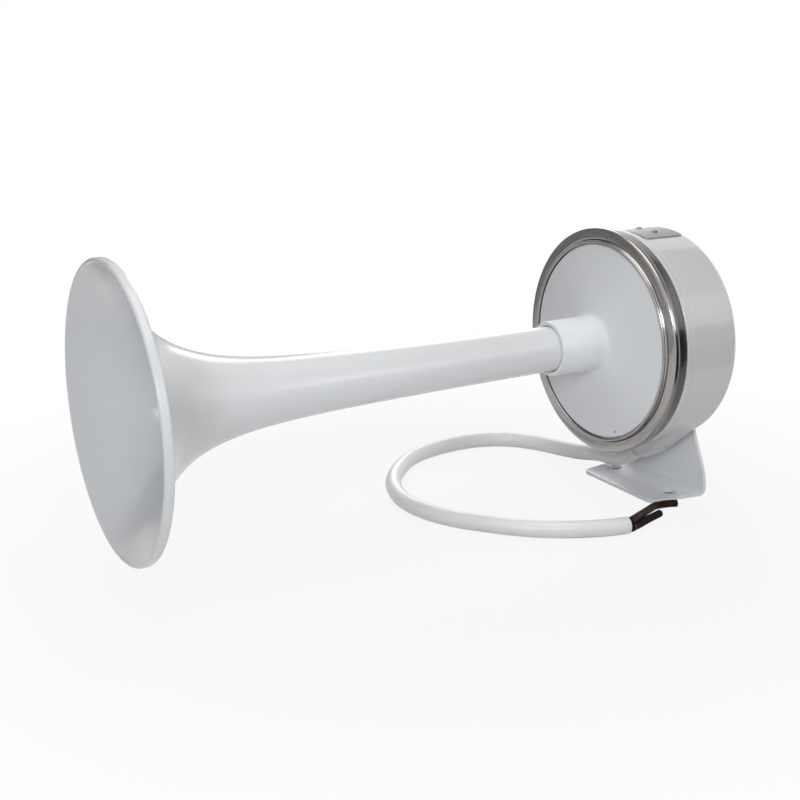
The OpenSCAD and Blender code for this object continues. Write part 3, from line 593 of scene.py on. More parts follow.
def painted_finish(name, colour, roughness, coat=0.0):
    """Powder paint on metal: slight orange peel and a faintly uneven tone."""
    made, nodes, links, shader = finish_base(name, colour, roughness, coat=coat)
    cloud = pattern(nodes, links, 30, 3)
    links.new(blended(nodes, links, cloud, scaled(colour, 0.98), scaled(colour, 1.01)),
              shader.inputs["Base Color"])
    patch = pattern(nodes, links, 300, 3)
    links.new(ranged(nodes, links, patch, roughness * 0.93, roughness * 1.08),
              shader.inputs["Roughness"])
    raised(nodes, links, shader, pattern(nodes, links, 320, 1), 1.5e-6)
    return made


def metal_finish(name, colour, roughness, stretch=(1, 1, 1), scale=300, depth=1.5e-6):
    """Machined or brushed metal: fine drawn lines in tone, gloss and relief."""
    made, nodes, links, shader = finish_base(name, colour, roughness, 1.0)
    line = pattern(nodes, links, scale, 5, stretch, 0.65)
    links.new(blended(nodes, links, line, scaled(colour, 0.85), scaled(colour, 1.1)),
              shader.inputs["Base Color"])
    links.new(ranged(nodes, links, line, roughness * 0.75, roughness * 1.3),
              shader.inputs["Roughness"])
    raised(nodes, links, shader, line, depth)
    return made


def turned_coordinates(nodes, links):
    """Distance along the horn, distance from its axis and angle round it, from Object places."""
    place = nodes.new("ShaderNodeTexCoord")
    parts = nodes.new("ShaderNodeSeparateXYZ")
    links.new(place.outputs["Object"], parts.inputs["Vector"])
    up = nodes.new("ShaderNodeMath")
    up.operation = "SUBTRACT"
    up.inputs[1].default_value = AXIS_H * MM
    links.new(parts.outputs["Z"], up.inputs[0])
    spot = nodes.new("ShaderNodeCombineXYZ")
    links.new(parts.outputs["Y"], spot.inputs["X"])
    links.new(up.outputs[0], spot.inputs["Y"])
    away = nodes.new("ShaderNodeVectorMath")
    away.operation = "LENGTH"
    links.new(spot.outputs["Vector"], away.inputs[0])
    angle = nodes.new("ShaderNodeMath")
    angle.operation = "ARCTAN2"
    links.new(up.outputs[0], angle.inputs[0])
    links.new(parts.outputs["Y"], angle.inputs[1])
    return parts.outputs["X"], away.outputs["Value"], angle.outputs[0]


def turned_pattern(nodes, links, along, out, angle, fine, around, detail=4.0):
    """Noise drawn out round the horn: fine features per metre across, around per radian."""
    parts = nodes.new("ShaderNodeCombineXYZ")
    for number, factor, socket in ((along, fine, "X"), (out, fine, "Y"), (angle, around, "Z")):
        times = nodes.new("ShaderNodeMath")
        times.operation = "MULTIPLY"
        times.inputs[1].default_value = factor
        links.new(number, times.inputs[0])
        links.new(times.outputs[0], parts.inputs[socket])
    noise = nodes.new("ShaderNodeTexNoise")
    noise.inputs["Scale"].default_value = 1.0
    noise.inputs["Detail"].default_value = detail
    links.new(parts.outputs["Vector"], noise.inputs["Vector"])
    return noise.outputs["Fac"]


def rolled_finish(name, colour, roughness):
    """Rolled stainless strip: fine lines that run round the horn, slow changes of tone round it that
    are painted reflection streaks, and a darker band behind the front corner, which is painted
    shade and painted dark reflection."""
    made, nodes, links, shader = finish_base(name, colour, roughness, 1.0)
    along, out, angle = turned_coordinates(nodes, links)
    fine = turned_pattern(nodes, links, along, out, angle, 2500, 6)
    # Painted reflection streaks: slow light and dark tone round the ring in place of reflections.
    slow = turned_pattern(nodes, links, along, out, angle, 250, 1.4, 2)
    both = nodes.new("ShaderNodeMath")
    both.operation = "MULTIPLY_ADD"
    both.inputs[1].default_value = 0.45
    links.new(fine, both.inputs[0])
    half = nodes.new("ShaderNodeMath")
    half.operation = "MULTIPLY"
    half.inputs[1].default_value = 0.55
    links.new(slow, half.inputs[0])
    links.new(half.outputs[0], both.inputs[2])
    lines_and_painted_streaks = blended(nodes, links, both.outputs[0], scaled(colour, 0.72), scaled(colour, 1.25))
    # Painted shade and dark reflection: the tone drops to 0.42 behind the front corner, all round the
    # ring.
    band = nodes.new("ShaderNodeMapRange")
    band.interpolation_type = "SMOOTHSTEP"
    band.inputs["From Min"].default_value = (RING_SEAT - 3.5) * MM
    band.inputs["From Max"].default_value = (RING_SEAT + 0.4) * MM
    band.inputs["To Min"].default_value = 0.42
    links.new(along, band.inputs["Value"])
    dark = nodes.new("ShaderNodeVectorMath")
    dark.operation = "SCALE"
    links.new(lines_and_painted_streaks, dark.inputs[0])
    links.new(band.outputs["Result"], dark.inputs["Scale"])
    links.new(dark.outputs["Vector"], shader.inputs["Base Color"])
    links.new(ranged(nodes, links, fine, roughness * 0.75, roughness * 1.35),
              shader.inputs["Roughness"])
    raised(nodes, links, shader, fine, 1.2e-6)
    return made


def rubber_finish(name, colour, roughness, grain=1400, depth=4e-6, gloss=0.5):
    """Soft plastic or rubber: dull, with a fine grain."""
    made, nodes, links, shader = finish_base(name, colour, roughness)
    shader.inputs["Specular IOR Level"].default_value = gloss
    cloud = pattern(nodes, links, 60, 2)
    links.new(blended(nodes, links, cloud, scaled(colour, 0.97), scaled(colour, 1.02)),
              shader.inputs["Base Color"])
    patch = pattern(nodes, links, 300, 3)
    links.new(ranged(nodes, links, patch, roughness * 0.92, roughness * 1.1),
              shader.inputs["Roughness"])
    raised(nodes, links, shader, pattern(nodes, links, grain, 2), depth)
    return made


FINISHES = {
    "trumpet_plastic": moulded_finish("trumpet_plastic", (0.80, 0.81, 0.83), 0.22),
    "cover_plastic": moulded_finish("cover_plastic", (0.86, 0.87, 0.90), 0.31),
    # The drum's white paint is set darker than the bracket's white sheet: painted shade, so that the
    # drum's side reads darker.
    "white_paint": painted_finish("white_paint", (0.66, 0.665, 0.665), 0.35, 0.9),
    "white_sheet": painted_finish("white_sheet", (0.82, 0.83, 0.85), 0.34),
    "ring_steel": rolled_finish("ring_steel", (0.35, 0.335, 0.33), 0.19),
    "spring_steel": metal_finish("spring_steel", (0.50, 0.50, 0.52), 0.28),
    "core_iron": metal_finish("core_iron", (0.36, 0.36, 0.37), 0.38),
    "fastener_steel": metal_finish("fastener_steel", (0.50, 0.50, 0.50), 0.30, (6, 1, 1)),
    "rivet_steel": metal_finish("rivet_steel", (0.16, 0.15, 0.14), 0.4),
    "grey_plate": metal_finish("grey_plate", (0.31, 0.305, 0.295), 0.36, (8, 1, 1), 400),
    "seal_rubber": rubber_finish("seal_rubber", (0.035, 0.035, 0.035), 0.6),
    "boot_rubber": rubber_finish("boot_rubber", (0.62, 0.64, 0.65), 0.48),
    "jacket_pvc": rubber_finish("jacket_pvc", (0.83, 0.83, 0.83), 0.32, 900, 1e-6),
    "black_insulation": rubber_finish("black_insulation", (0.006, 0.003, 0.004), 0.45, gloss=0.08),
    "brown_insulation": rubber_finish("brown_insulation", (0.022, 0.008, 0.005), 0.45, gloss=0.12),
    "bobbin_nylon": moulded_finish("bobbin_nylon", (0.72, 0.68, 0.55), 0.45),
    "copper_wire": metal_finish("copper_wire", (0.60, 0.24, 0.10), 0.30),
    "phenolic": rubber_finish("phenolic", (0.20, 0.09, 0.045), 0.5, 700),
    "contact_metal": metal_finish("contact_metal", (0.75, 0.73, 0.68), 0.25),
    "leaf_bronze": metal_finish("leaf_bronze", (0.66, 0.42, 0.18), 0.3, (1, 8, 1)),
    "terminal_brass": metal_finish("terminal_brass", (0.72, 0.52, 0.22), 0.28),
    "capacitor_can": moulded_finish("capacitor_can", (0.10, 0.17, 0.32), 0.35),
}


# Cable
def make_cable():
    """The free lead: jacket with a cut end, and its two insulated cores."""
    route = smooth_route(ROUTE)
    length = travelled(route)[-1]
    along = np.linspace(0, length - 0.5, 260)
    body = np.stack([along, np.full(260, CABLE_R)], axis=1)
    cut = [[length - 0.1, CABLE_R - 0.1], [length, CABLE_R - 0.5], [length, CABLE_R - 0.9],
           [length - 0.6, CABLE_R - 1.0], [length - 0.7, 0]]
    stations = np.concatenate([[[0, 0]], body, cut])
    jacket = shell("cable_jacket_skin", (swept(route, stations), False), sharp=50)
    dress(jacket, "horn", FINISHES["jacket_pvc"], "jacket_pvc", "cable_jacket")
    black = make_core("black_core_skin", BLACK_ROUTE, "black_insulation", "black_core")
    brown = make_core("brown_core_skin", BROWN_ROUTE, "brown_insulation", "brown_core")


def make_core(name, points, slot, node):
    """One insulated core, with a rounded end that is hollowed a little where it was cut."""
    route = smooth_route(points, 0.8)
    length = travelled(route)[-1]
    along = np.linspace(0, length - 0.5, 90)
    body = np.stack([along, np.full(90, CORE_R)], axis=1)
    cut = [[length - 0.15, CORE_R - 0.12], [length, CORE_R - 0.45], [length, CORE_R - 0.9],
           [length - 0.3, CORE_R - 1.0], [length - 0.3, 0]]
    core = shell(name, (swept(route, np.concatenate([[[0, 0]], body, cut]), 24), False), sharp=50)
    return dress(core, "horn", FINISHES[slot], slot, node)


# Horn
def flare(x):
    """Outer radius of the trumpet at stations x: the tube, a slow swell, the wide flare and a curl
    outwards, all dying away exponentially behind the rim, so that its foot is reached there."""
    free_len = MOUTH_X - RIM_LEN - NECK_MOUTH
    gone = np.exp(-free_len / SWELL_LEN)
    wide = MOUTH_R - RIM_PROUD - TUBE_R - CURL_R - SWELL_R * (1 - gone)
    s = MOUTH_X - RIM_LEN - x
    swell = SWELL_R * (np.exp(-s / SWELL_LEN) - gone)
    return TUBE_R + swell + wide * np.exp(-s / FLARE_LEN) + CURL_R * np.exp(-s / CURL_LEN)


def make_trumpet():
    """Turned shell of the flared bell with a banded rim that stands forward of the flare. The
    inner wall is the outer curve moved inwards by the wall along the curve's own normal. From
    RISE_R outwards it comes forward by a quadratic rise, so that it meets the rim's lip."""
    front = MOUTH_X - RIM_LEN
    lip_r = MOUTH_R - RIM_W
    x = front - (front - NECK_MOUTH) * np.linspace(1, 0, 130) ** 2.6
    r = flare(x)
    slope = np.gradient(r, x)
    bend = np.sqrt(1 + slope ** 2)
    outer = np.stack([r, x], axis=1)
    inner = np.stack([r - TRUMPET_WALL / bend, x + TRUMPET_WALL * slope / bend], axis=1)[::-1]
    inner = inner[inner[:, 0] < lip_r - RIM_LIP_R]
    rise = np.clip((inner[:, 0] - RISE_R) / (lip_r - RISE_R), 0, 1)
    inner[:, 1] += (MOUTH_X - RIM_LIP_R - inner[0, 1]) * rise ** 2
    middle = MOUTH_R - RIM_EDGE_R
    back_edge = ring_arc((middle, front + RIM_EDGE_R), RIM_EDGE_R, -90, 0, 8)
    front_edge = ring_arc((middle, MOUTH_X - RIM_EDGE_R), RIM_EDGE_R, 0, 90, 8)
    lip = ring_arc((lip_r + RIM_LIP_R, MOUTH_X - RIM_LIP_R), RIM_LIP_R, 90, 140, 6)
    seat = [[TUBE_R - TRUMPET_WALL, SEAT_X], [TUBE_R - 0.3, SEAT_X], [TUBE_R, SEAT_X + 0.3]]
    outline = np.concatenate([seat, outer, back_edge, front_edge, lip, inner])
    trumpet = shell("trumpet_skin", (turned(outline, 224), True), sharp=40)
    dress(trumpet, "horn", FINISHES["trumpet_plastic"], "trumpet_plastic", "trumpet")


def make_cover():
    """Shallow dome with its neck, turned in one outline, with the drain hole drilled through."""
    seat = COVER_BACK + FLANGE_T
    face = seat + FACE_STEP
    base = face + DOME_RISE
    chamber = base - DOME_WALL
    floor = chamber + NECK_FLOOR
    base_r = NECK_R + NECK_TAPER
    outline = [
        ([CHAMBER_R, COVER_BACK], 0.4), ([FLANGE_R, COVER_BACK], 0.3), ([FLANGE_R, seat], 0.4),
        ([FACE_R + FACE_FIT, seat], 0.3), ([FACE_R + FACE_FIT, face], 1.0),
        ([base_r, base], NECK_FILLET),
        ([NECK_R, NECK_MOUTH], 0.9), ([TUBE_R + 0.5, NECK_MOUTH], 0.5),
        ([TUBE_R + 0.1, NECK_MOUTH - 4], 0), ([TUBE_R + 0.1, floor], 0.3),
        ([THROAT_R, floor], 0.4), ([THROAT_R, chamber], 0.6),
        ([base_r + NECK_FILLET, chamber], 3), ([CHAMBER_R, face - DOME_WALL], 1.5)]
    points, radii = zip(*outline)
    cover = shell("front_cover_skin", (turned(eased(points, radii, 7), 224), True))
    drain = FACE_R - DRAIN_INSET
    drain_at = (COVER_BACK - 1, DRAIN_SIDE * drain, AXIS_H - DRAIN_DOWN * drain)
    drill(cover, drain_at, (1, 0, 0), DRAIN_R, 12, 32)
    dress(cover, "horn", FINISHES["cover_plastic"], "cover_plastic", "front_cover")


def make_ring():
    """Clamp ring of thin steel: rear lip, slightly flared band, rounded front corner, a shallow
    dish in the front face and a proud rolled inner bead, with the inside following the outside
    at the sheet's thickness."""
    face = RING_SEAT + RING_T
    bead_at = (BEAD_R + ROLL_R, face + 0.8)
    bead = ring_arc(bead_at, ROLL_R, -35, 180, 20)
    front = eased([
        [LIP_R, RING_BACK], [SHOULDER_R, RING_BACK], [RING_CORNER_R - 0.9, RING_SEAT - 2.6],
        [RING_CORNER_R, RING_SEAT - 1.6], [RING_CORNER_R - 0.3, RING_SEAT + 0.9],
        [RING_CORNER_R - 2.0, face], [BEAD_R + 2 * ROLL_R + 1.6, face - 0.15],
        [BEAD_R + 2 * ROLL_R + 0.35, face - 0.35]],
        [0.3, 0.9, 1.2, 0.9, 1.0, 0.8, 0.8, 0.3], 6)
    back = eased([
        [BEAD_R, RING_SEAT], [RING_CORNER_R - 2, RING_SEAT], [BAND_R, RING_BACK + RING_T + 4],
        [BAND_R, RING_BACK + RING_T], [LIP_R, RING_BACK + RING_T]], [0.2, 0.8, 0.8, 0.5, 0.3], 4)
    outline = np.concatenate([front, bead, back])
    ring = shell("clamp_ring_skin", (turned(outline, 256), True), sharp=50)
    dress(ring, "horn", FINISHES["ring_steel"], "ring_steel", "clamp_ring")


def chin_grid():
    """Wedge from the boss's low side to the drum: an outline square to X whose long edge touches
    the drum's circle and whose hidden edge stays inside the wall, following its middle. The long
    edge is drawn in along its normal near both ends of the wedge to round them. The outline
    starts a little inside the boss's mouth."""
    down = np.array([INWARD[2], -INWARD[1]])
    mouth = EXIT_MOUTH[1:] - (0, AXIS_H) + CHIN_BACK * INWARD[1:]
    low_corner = mouth + BOSS_R * down
    angle = math.atan2(low_corner[1], low_corner[0])
    angle += math.acos(DRUM_R / np.linalg.norm(low_corner))
    outward = np.array([math.cos(angle), math.sin(angle)])
    long_edge = low_corner + np.linspace(0, 1, 8)[:, None] * (DRUM_R * outward - low_corner)
    back = np.linspace(angle - 0.02, -math.pi / 2, 14)[:, None]
    hidden = (CAVITY_R + DRUM_R) / 2 * np.hstack([np.cos(back), np.sin(back)])
    inset = np.array([1.2, 0.35, 0.09, 0.0, 0.0, 0.09, 0.35, 1.2])
    x = EXIT_MOUTH[0] + (BOSS_R + 0.02) * np.array([-1, -0.95, -0.91, -0.87, 0.87, 0.91, 0.95, 1])
    rings = [np.concatenate([long_edge - outward * e, hidden, [mouth]]) for e in inset]
    return np.stack([np.column_stack([np.full(len(r), at), r[:, 0], AXIS_H + r[:, 1]])
                     for at, r in zip(x, rings)])


def make_drum():
    """Deep drum with its rear pad and front shoulder in one turned outline. The slanting boss that
    the lead leaves through and the chin beside it are joined on, and the boss is bored."""
    web_front = DRUM_LOW[0]
    flange_front = DRUM_HIGH[0]
    rear = web_front + PAD_H
    inside = rear + REAR_WALL
    shoulder = rear + DRUM_LEN
    groove = shoulder + SHOULDER_W
    outline = [
        ([STUD_HOLE_R, web_front], 0.3), ([PAD_R, web_front], 0.7), ([PAD_R, rear], 1.5),
        ([DRUM_R, rear], REAR_EDGE_R * 1.3), ([DRUM_R, shoulder - 1.2], 1.2),
        ([SHOULDER_R - 0.3, shoulder], 0.9), ([SHOULDER_R, groove], 0.9), ([GROOVE_R, groove], 0.2),
        ([GROOVE_R, groove + FLANGE_LIP], 0.2), ([FLANGE_R, groove + FLANGE_LIP], 0.3),
        ([FLANGE_R, flange_front], 0.3), ([GROOVE_R - 2.5, flange_front], 0.3),
        ([GROOVE_R - 2.5, shoulder], 0.5), ([CAVITY_R, shoulder], 0.5), ([CAVITY_R, inside], 1.5),
        ([STUD_HOLE_R, inside], 0.3)]
    points, radii = zip(*outline)
    drum = shell("housing_skin", (turned(eased(points, radii, 7), 224), True))
    boss = shell("boss", (turned(
        [[0, -BOSS_LEN], [BOSS_R, -BOSS_LEN], [BOSS_R, -0.8], [BOSS_R - 0.25, -0.25],
         [BOSS_R - 0.8, 0], [0, 0]], 96, EXIT_MOUTH, -INWARD), False))
    carve(drum, boss, "UNION")
    carve(drum, shell("chin", (chin_grid(), False)), "UNION")
    drill(drum, EXIT_MOUTH + INWARD * (BOSS_LEN + 9), -INWARD, BOOT_R + 0.1, BOSS_LEN + 12)
    dress(drum, "horn", FINISHES["white_paint"], "white_paint", "housing")


def make_boot():
    """Tapered bush round the lead: sleeve in the boss, a collar on its face and a ribbed nose."""
    outline = [
        ([CABLE_R + 0.05, -SLEEVE_LEN], 0.2), ([BOOT_R, -SLEEVE_LEN], 0.4),
        ([BOOT_R, 0], 0.1), ([BOSS_R, 0], 0.2),
        ([BOSS_R, 2], 0.7), ([BOOT_R + 1, 2], 0.3), ([BOOT_R + 0.75, 3.4], 0.3),
        ([BOOT_R + 0.2, 3.5], 0.2), ([BOOT_R + 0.1, 4.3], 0.2), ([BOOT_R + 0.45, 4.4], 0.3),
        ([BOOT_R + 0.1, 5.6], 0.3), ([CABLE_R + 1.2, 5.7], 0.2), ([CABLE_R + 1.1, 6.3], 0.2),
        ([CABLE_R + 1.3, 6.4], 0.2), ([CABLE_R + 1.1, BOOT_NOSE], 0.3),
        ([CABLE_R + 0.05, BOOT_NOSE], 0.2)]
    points, radii = zip(*outline)
    outside = turned(eased(points, radii, 4), 96, EXIT_MOUTH, -INWARD)
    boot = shell("cable_boot_skin", (outside, True))
    dress(boot, "horn", FINISHES["boot_rubber"], "boot_rubber", "cable_boot")


# Bracket
def make_bracket():
    """Bent sheet: a rounded rectangular section carried along the middle line of the sheet, from
    the foot's front edge back, up round the bend and to the web's round top. Its half width at
    each place follows the foot's slanted sides, the web's cosine shoulders and the round top."""
    half_t = SHEET_T / 2
    front, rear = BRACKET_HIGH[0], BRACKET_LOW[0]
    bend_out = BEND_R + SHEET_T
    back = rear + bend_out
    corner_x = front - FOOT_CORNER_R
    slant = (FOOT_HALF_REAR - FOOT_HALF_FRONT) / (front - back)
    corner_half = FOOT_HALF_REAR - slant * (corner_x - back)
    ease_in = 1 - np.cos(np.linspace(0, math.pi / 2, 14))
    x = np.concatenate([front - FOOT_CORNER_R * ease_in, np.linspace(corner_x, back, 12)[1:]])
    reach = np.clip(x - corner_x, 0, FOOT_CORNER_R)
    foot_half = np.where(
        x > corner_x, corner_half - FOOT_CORNER_R + np.sqrt(FOOT_CORNER_R ** 2 - reach ** 2),
        FOOT_HALF_REAR - slant * (x - back))
    a = np.radians(np.linspace(0, 90, 12))[1:-1]
    middle = BEND_R + half_t
    z = np.concatenate([
        np.linspace(bend_out, bend_out + WEB_SHOULDER_H, 30),
        np.linspace(WEB_STRAIGHT_Z, AXIS_H, 6),
        AXIS_H + WEB_HALF * np.sin(np.linspace(0, math.pi / 2, 26))[1:]])
    shoulder = np.clip((z - bend_out) / WEB_SHOULDER_H, 0, 1)
    web_half = WEB_HALF + (FOOT_HALF_REAR - WEB_HALF) * (1 + np.cos(math.pi * shoulder)) / 2
    over = np.clip(z - AXIS_H, 0, WEB_HALF)
    web_half = np.where(z > AXIS_H, np.sqrt(WEB_HALF ** 2 - over ** 2), web_half)
    foot_line = np.stack([x, np.full(len(x), half_t)], axis=1)
    bend_line = np.stack([back - middle * np.sin(a), bend_out - middle * np.cos(a)], axis=1)
    web_line = np.stack([np.full(len(z), rear + half_t), z], axis=1)
    line = np.concatenate([foot_line, bend_line, web_line])
    half = np.concatenate([foot_half, np.full(len(a), FOOT_HALF_REAR), web_half])
    face = np.concatenate([
        np.tile([0.0, 1.0], (len(x), 1)), np.stack([np.sin(a), np.cos(a)], axis=1),
        np.tile([1.0, 0.0], (len(z), 1))])
    gone = travelled(line)
    near = np.clip(np.minimum(gone, gone[-1] - gone), 0, EDGE_R)
    inset = EDGE_R - np.sqrt(EDGE_R ** 2 - (EDGE_R - near) ** 2)
    quarter = np.radians(np.linspace(0, 90, 5))
    turns = ((1, 1, quarter), (-1, 1, quarter[::-1]), (-1, -1, quarter), (1, -1, quarter[::-1]))
    corner = np.concatenate([
        np.stack([np.full(5, sy), np.full(5, sz), sy * np.cos(q), sz * np.sin(q)], axis=1)
        for sy, sz, q in turns])
    edge = EDGE_R - inset[:, None]
    across = np.maximum(half[:, None] - EDGE_R, 0) * corner[:, 0] + edge * corner[:, 2]
    thick = (half_t - EDGE_R) * corner[:, 1] + edge * corner[:, 3]
    grid = np.stack([
        line[:, 0, None] + thick * face[:, 0, None], across,
        line[:, 1, None] + thick * face[:, 1, None]], axis=-1)
    bracket = shell("mounting_bracket_skin", (grid, False))
    for side in (-1, 1):
        drill(bracket, (0, side * HOLE_SPACING / 2, -2), (0, 0, 1), HOLE_R, 8)
        drill(bracket, (rear - 2, side * WEB_SCREW_Y, AXIS_H), (1, 0, 0), WEB_SCREW_HOLE_R, 8, 32)
    drill(bracket, (rear - 2, 0, AXIS_H), (1, 0, 0), STUD_HOLE_R, 8, 48)
    dress(bracket, "horn", FINISHES["white_sheet"], "white_sheet", "mounting_bracket")


# Nameplate
def make_nameplate():
    """Bare plate bent round the drum: a thin rounded section carried along X, its half angle
    shrinking at both ends to round the corners."""
    corner = 2.0
    edge = 0.2
    ease_in = corner * (1 - np.cos(np.linspace(0, math.pi / 2, 10)))
    straight = np.linspace(PLATE_LOW[0] + corner, PLATE_HIGH[0] - corner, 8)[1:-1]
    x = np.concatenate([PLATE_LOW[0] + ease_in, straight, (PLATE_HIGH[0] - ease_in)[::-1]])
    near = np.clip(np.minimum(x - x[0], x[-1] - x), 0, corner)
    full = math.radians(PLATE_HALF_ANGLE) * DRUM_R
    half = full - corner + np.sqrt(corner ** 2 - (corner - near) ** 2)
    t = np.linspace(-1, 1, 40)
    top = np.stack([t, np.full(40, PLATE_T)], axis=1)
    under = np.stack([t[::-1], np.zeros(40)], axis=1)
    top[[0, -1], 1] -= edge
    loop = np.concatenate([top, under])
    angle = loop[:, 0] * half[:, None] / DRUM_R
    radius = DRUM_R + 0.02 + loop[:, 1]
    grid = np.stack([
        np.broadcast_to(x[:, None], angle.shape), radius * np.sin(angle),
        AXIS_H + radius * np.cos(angle)], axis=-1)
    plate = shell("nameplate_skin", (grid, False), sharp=40)
    dress(plate, "horn", FINISHES["grey_plate"], "grey_plate", "nameplate")
    head = [[0, 1.0], [0.7, 0.93], [1.3, 0.7], [1.75, 0.36], [1.95, 0.08], [1.95, 0.0], [RIVET_R, 0.0],
            [RIVET_R, -3.6], [0, -3.6]]
    grids = []
    for side in (-1, 1):
        lean = side * math.asin(RIVET_SPACING / 2 / DRUM_R)
        way = np.array([0.0, math.sin(lean), math.cos(lean)])
        at = np.array([(PLATE_LOW[0] + PLATE_HIGH[0]) / 2, 0, AXIS_H]) + way * (DRUM_R + PLATE_T)
        grids.append((turned(head, 48, at, way), False))
    rivets = shell("nameplate_rivets_skin", *grids)
    dress(rivets, "horn", FINISHES["rivet_steel"], "fastener_steel", "nameplate_rivets")


# Fasteners of the rear
def threaded(x0, x1, radius, pitch, y=0.0, up=0.0, sides=40):
    """Screw thread along X: the radius falls from its crest by a triangle wave of the distance
    plus one pitch a turn, and the ends run out to a chamfer."""
    deep = 0.55 * pitch
    x = np.linspace(x0, x1, int((x1 - x0) / pitch * 6) + 2)
    a = np.linspace(0, 2 * math.pi, sides, endpoint=False)
    turn = x[:, None] / pitch - a / (2 * math.pi)
    wave = np.abs(2 * (turn - np.floor(turn)) - 1)
    near = np.minimum(x - x0, x1 - x)[:, None]
    chamfer = np.clip(1 - near / (1.2 * pitch), 0, 1)
    r = radius - deep * np.maximum(wave, chamfer)
    return np.stack([
        np.broadcast_to(x[:, None], r.shape), y + r * np.cos(a), AXIS_H + up + r * np.sin(a)], axis=-1)


def hex_nut(x0, x1, across, hole_r, y=0.0, up=0.0, sides=96):
    """Hexagon nut along X: its radius round the axis is the flat's distance over the cosine of
    the angle from that flat's middle, cut by a cone at both ends, with a countersunk bore."""
    a = np.linspace(0, 2 * math.pi, sides, endpoint=False)
    off = (a + math.pi / 6) % (math.pi / 3) - math.pi / 6
    flat = across / 2 / np.cos(off)
    corner = across / 2 / math.cos(math.pi / 6)
    rise = np.linspace(0, 1, 5)
    drop = (corner - across / 2 + 0.25)
    ends = np.concatenate([x0 + rise * drop * 0.58, (x1 - rise * drop * 0.58)[::-1]])
    cone = np.concatenate([across / 2 - 0.25 + rise * drop, (across / 2 - 0.25 + rise * drop)[::-1]])
    outer = np.minimum(flat, cone[:, None])
    bore_x = np.array([x1, x1 - 0.6, x0 + 0.6, x0])
    bore = np.array([hole_r + 0.6, hole_r, hole_r, hole_r + 0.6])
    r = np.concatenate([outer, np.broadcast_to(bore[:, None], (4, sides))])
    x = np.concatenate([ends, bore_x])
    return np.stack([
        np.broadcast_to(x[:, None], r.shape), y + r * np.cos(a), AXIS_H + up + r * np.sin(a)], axis=-1)


def bar(low, high):
    """Square grid of a box between two corners, used as a cutter for slots."""
    low, high = np.asarray(low, float), np.asarray(high, float)
    ring = np.array([[0, 0], [1, 0], [1, 1], [0, 1]])
    yz = low[1:] + ring * (high[1:] - low[1:])
    return np.stack([np.column_stack([np.full(4, x), yz]) for x in (low[0], high[0])])


def make_stud():
    """Pole core with its rear stud: a chamfered core, a plain shank and a cut thread behind."""
    low, high = span("pole_core")
    web_back = BRACKET_LOW[0]
    wall_in = DRUM_LOW[0] + PAD_H + REAR_WALL
    step = wall_in + SHELL_WALL
    outline = eased([
        [0, web_back - 0.5], [STUD_R - 0.3, web_back - 0.5], [STUD_R, web_back], [STUD_R, step],
        [CORE_BIG_R, step], [CORE_BIG_R, high[0]], [0, high[0]]], [0, 0.1, 0.1, 0.2, 0.3, 0.6, 0], 4)
    core = shell("pole_core_skin", (turned(outline, 96), False))
    cut = threaded(low[0], web_back, STUD_R, STUD_PITCH)
    thread = shell("stud_thread", (cut, False), sharp=25)
    carve(core, thread, "UNION", 25)
    dress(core, "horn", FINISHES["core_iron"], "core_iron", "pole_core")


def make_stud_nut():
    """Hexagon nut and plain washer on the stud."""
    low, high = span("bracket_nut")
    form = hex_nut(low[0], high[0], NUT_ACROSS, STUD_R + 0.05)
    nut = shell("bracket_nut_skin", (form, True), sharp=20)
    dress(nut, "horn", FINISHES["fastener_steel"], "fastener_steel", "bracket_nut")
    low, high = span("bracket_washer")
    outline = eased([
        [STUD_HOLE_R, low[0]], [WASHER_R, low[0]], [WASHER_R, high[0]], [STUD_HOLE_R, high[0]]],
        [0.2, 0.4, 0.1, 0.1], 4)
    washer = shell("bracket_washer_skin", (turned(outline, 96), True))
    dress(washer, "horn", FINISHES["fastener_steel"], "fastener_steel", "bracket_washer")


def make_web_screws():
    """The two web screws, each with a domed head and a slot, as one piece."""
    low, high = span("bracket_screws")
    web_back = BRACKET_LOW[0]
    outline = eased([
        [0, low[0]], [2.2, low[0] + 0.1], [WEB_SCREW_HEAD_R, low[0] + 1.5],
        [WEB_SCREW_HEAD_R, web_back], [WEB_SCREW_R, web_back], [WEB_SCREW_R, high[0]],
        [0, high[0]]], [0, 1.5, 1.2, 0.15, 0, 0.4, 0], 6)
    made = []
    for side in (-1, 1):
        y = side * WEB_SCREW_Y
        screw = shell("bracket_screws_skin", (turned(outline, 64, (0, y, AXIS_H)), False))
        slot = bar((low[0] - 1, y - 0.6, AXIS_H - 6), (low[0] + 1.2, y + 0.6, AXIS_H + 6))
        carve(screw, shell("slot", (slot, False)))
        made.append(screw)
    screws, other = made
    carve(screws, other, "UNION")
    dress(screws, "horn", FINISHES["fastener_steel"], "fastener_steel", "bracket_screws")


def make_adjuster():
    """Tone adjustment: a slotted, threaded screw with its lock nut."""
    low, high = span("adjusting_screw")
    y = (low[1] + high[1]) / 2
    z = (low[2] + high[2]) / 2
    up = z - AXIS_H
    form = threaded(low[0], high[0], ADJUSTER_R, ADJUSTER_PITCH, y, up, 32)
    screw = shell("adjusting_screw_skin", (form, False), sharp=25)
    slot = bar((low[0] - 1, y - 4, z - 0.4), (low[0] + 1.3, y + 4, z + 0.4))
    carve(screw, shell("slot", (slot, False)), sharp=25)
    dress(screw, "adjuster", FINISHES["fastener_steel"], "fastener_steel", "adjusting_screw")
    low, high = span("adjuster_nut")
    form = hex_nut(low[0], high[0], ADJUSTER_ACROSS, ADJUSTER_R + 0.03, y, up)
    nut = shell("adjuster_nut_skin", (form, True), sharp=20)
    dress(nut, "horn", FINISHES["fastener_steel"], "fastener_steel", "adjuster_nut")


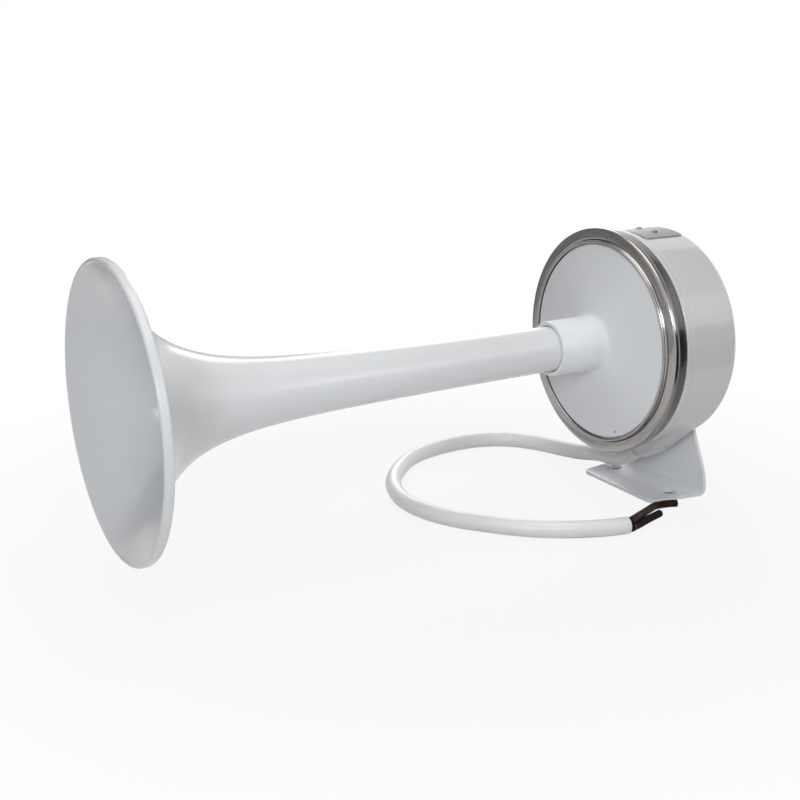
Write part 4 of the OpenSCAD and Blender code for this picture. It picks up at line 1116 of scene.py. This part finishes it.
def make_winding():
    """Coil of enamelled wire: the outer face is a row of half rounds, one for each turn."""
    low, high = span("coil_winding")
    outer_r = high[1]
    inner_r = CORE_BIG_R + 1.8
    turns = int((high[0] - low[0]) / 0.8)
    x = np.linspace(low[0], high[0], turns * 6 + 1)
    wire = np.abs(np.sin((x - low[0]) / (high[0] - low[0]) * turns * math.pi))
    outer = np.stack([outer_r - 0.28 * (1 - wire), x], axis=1)
    outline = np.concatenate([outer, [[inner_r, high[0]], [inner_r, low[0]]]])
    coil = shell("coil_winding_skin", (turned(outline, 128), True), sharp=35)
    dress(coil, "horn", FINISHES["copper_wire"], "copper_wire", "coil_winding")


# CAD pieces kept as they are
def finish_nodes():
    """Every CAD node gets the finish of its slot, and machined ones a fine edge break."""
    plain = {"inner_cable", "inner_cores", "coil_leads", "diaphragm", "contact_leaf"}
    for row in frame["record"]["subparts"]:
        node = frame["nodes"][row["node"]]
        for holder in node.material_slots:
            holder.material = FINISHES[row["material_slot"]]
        if row["node"] in plain:
            continue
        weld = node.modifiers.new("weld", "WELD")
        weld.merge_threshold = 1e-6
        edge = node.modifiers.new("edge_break", "BEVEL")
        edge.width = 0.12 * MM
        edge.segments = 2
        edge.limit_method = "ANGLE"
        edge.angle_limit = math.radians(40)


bpy.context.scene.view_settings.view_transform = "Standard"
make_camera()
make_cable()
make_trumpet()
make_cover()
make_ring()
make_drum()
make_boot()
make_bracket()
make_nameplate()
make_stud()
make_stud_nut()
make_web_screws()
make_adjuster()
make_winding()
finish_nodes()
make_world()
make_floor()
make_flags()
make_lamp("overhead", (0.10, 0.05, 1.3), (0.1, 0, 0.1), 1.0, 6.4, (1.0, 0.995, 0.96))
make_lamp("key", (0.60, 1.12, 0.74), (0.05, 0, 0.09), 0.30, 2.5)
make_lamp("front_key", (1.03, 0.87, 0.59), (0.05, 0, 0.09), 0.26, 4.3, (0.94, 0.97, 1.0))
make_lamp("side_fill", (-0.35, 1.2, 0.6), (0.05, 0, 0.09), 0.5, 2.5)
make_lamp("rear", (-0.35, -1.1, 0.70), (0.10, 0, 0.09), 0.8, 5.5)
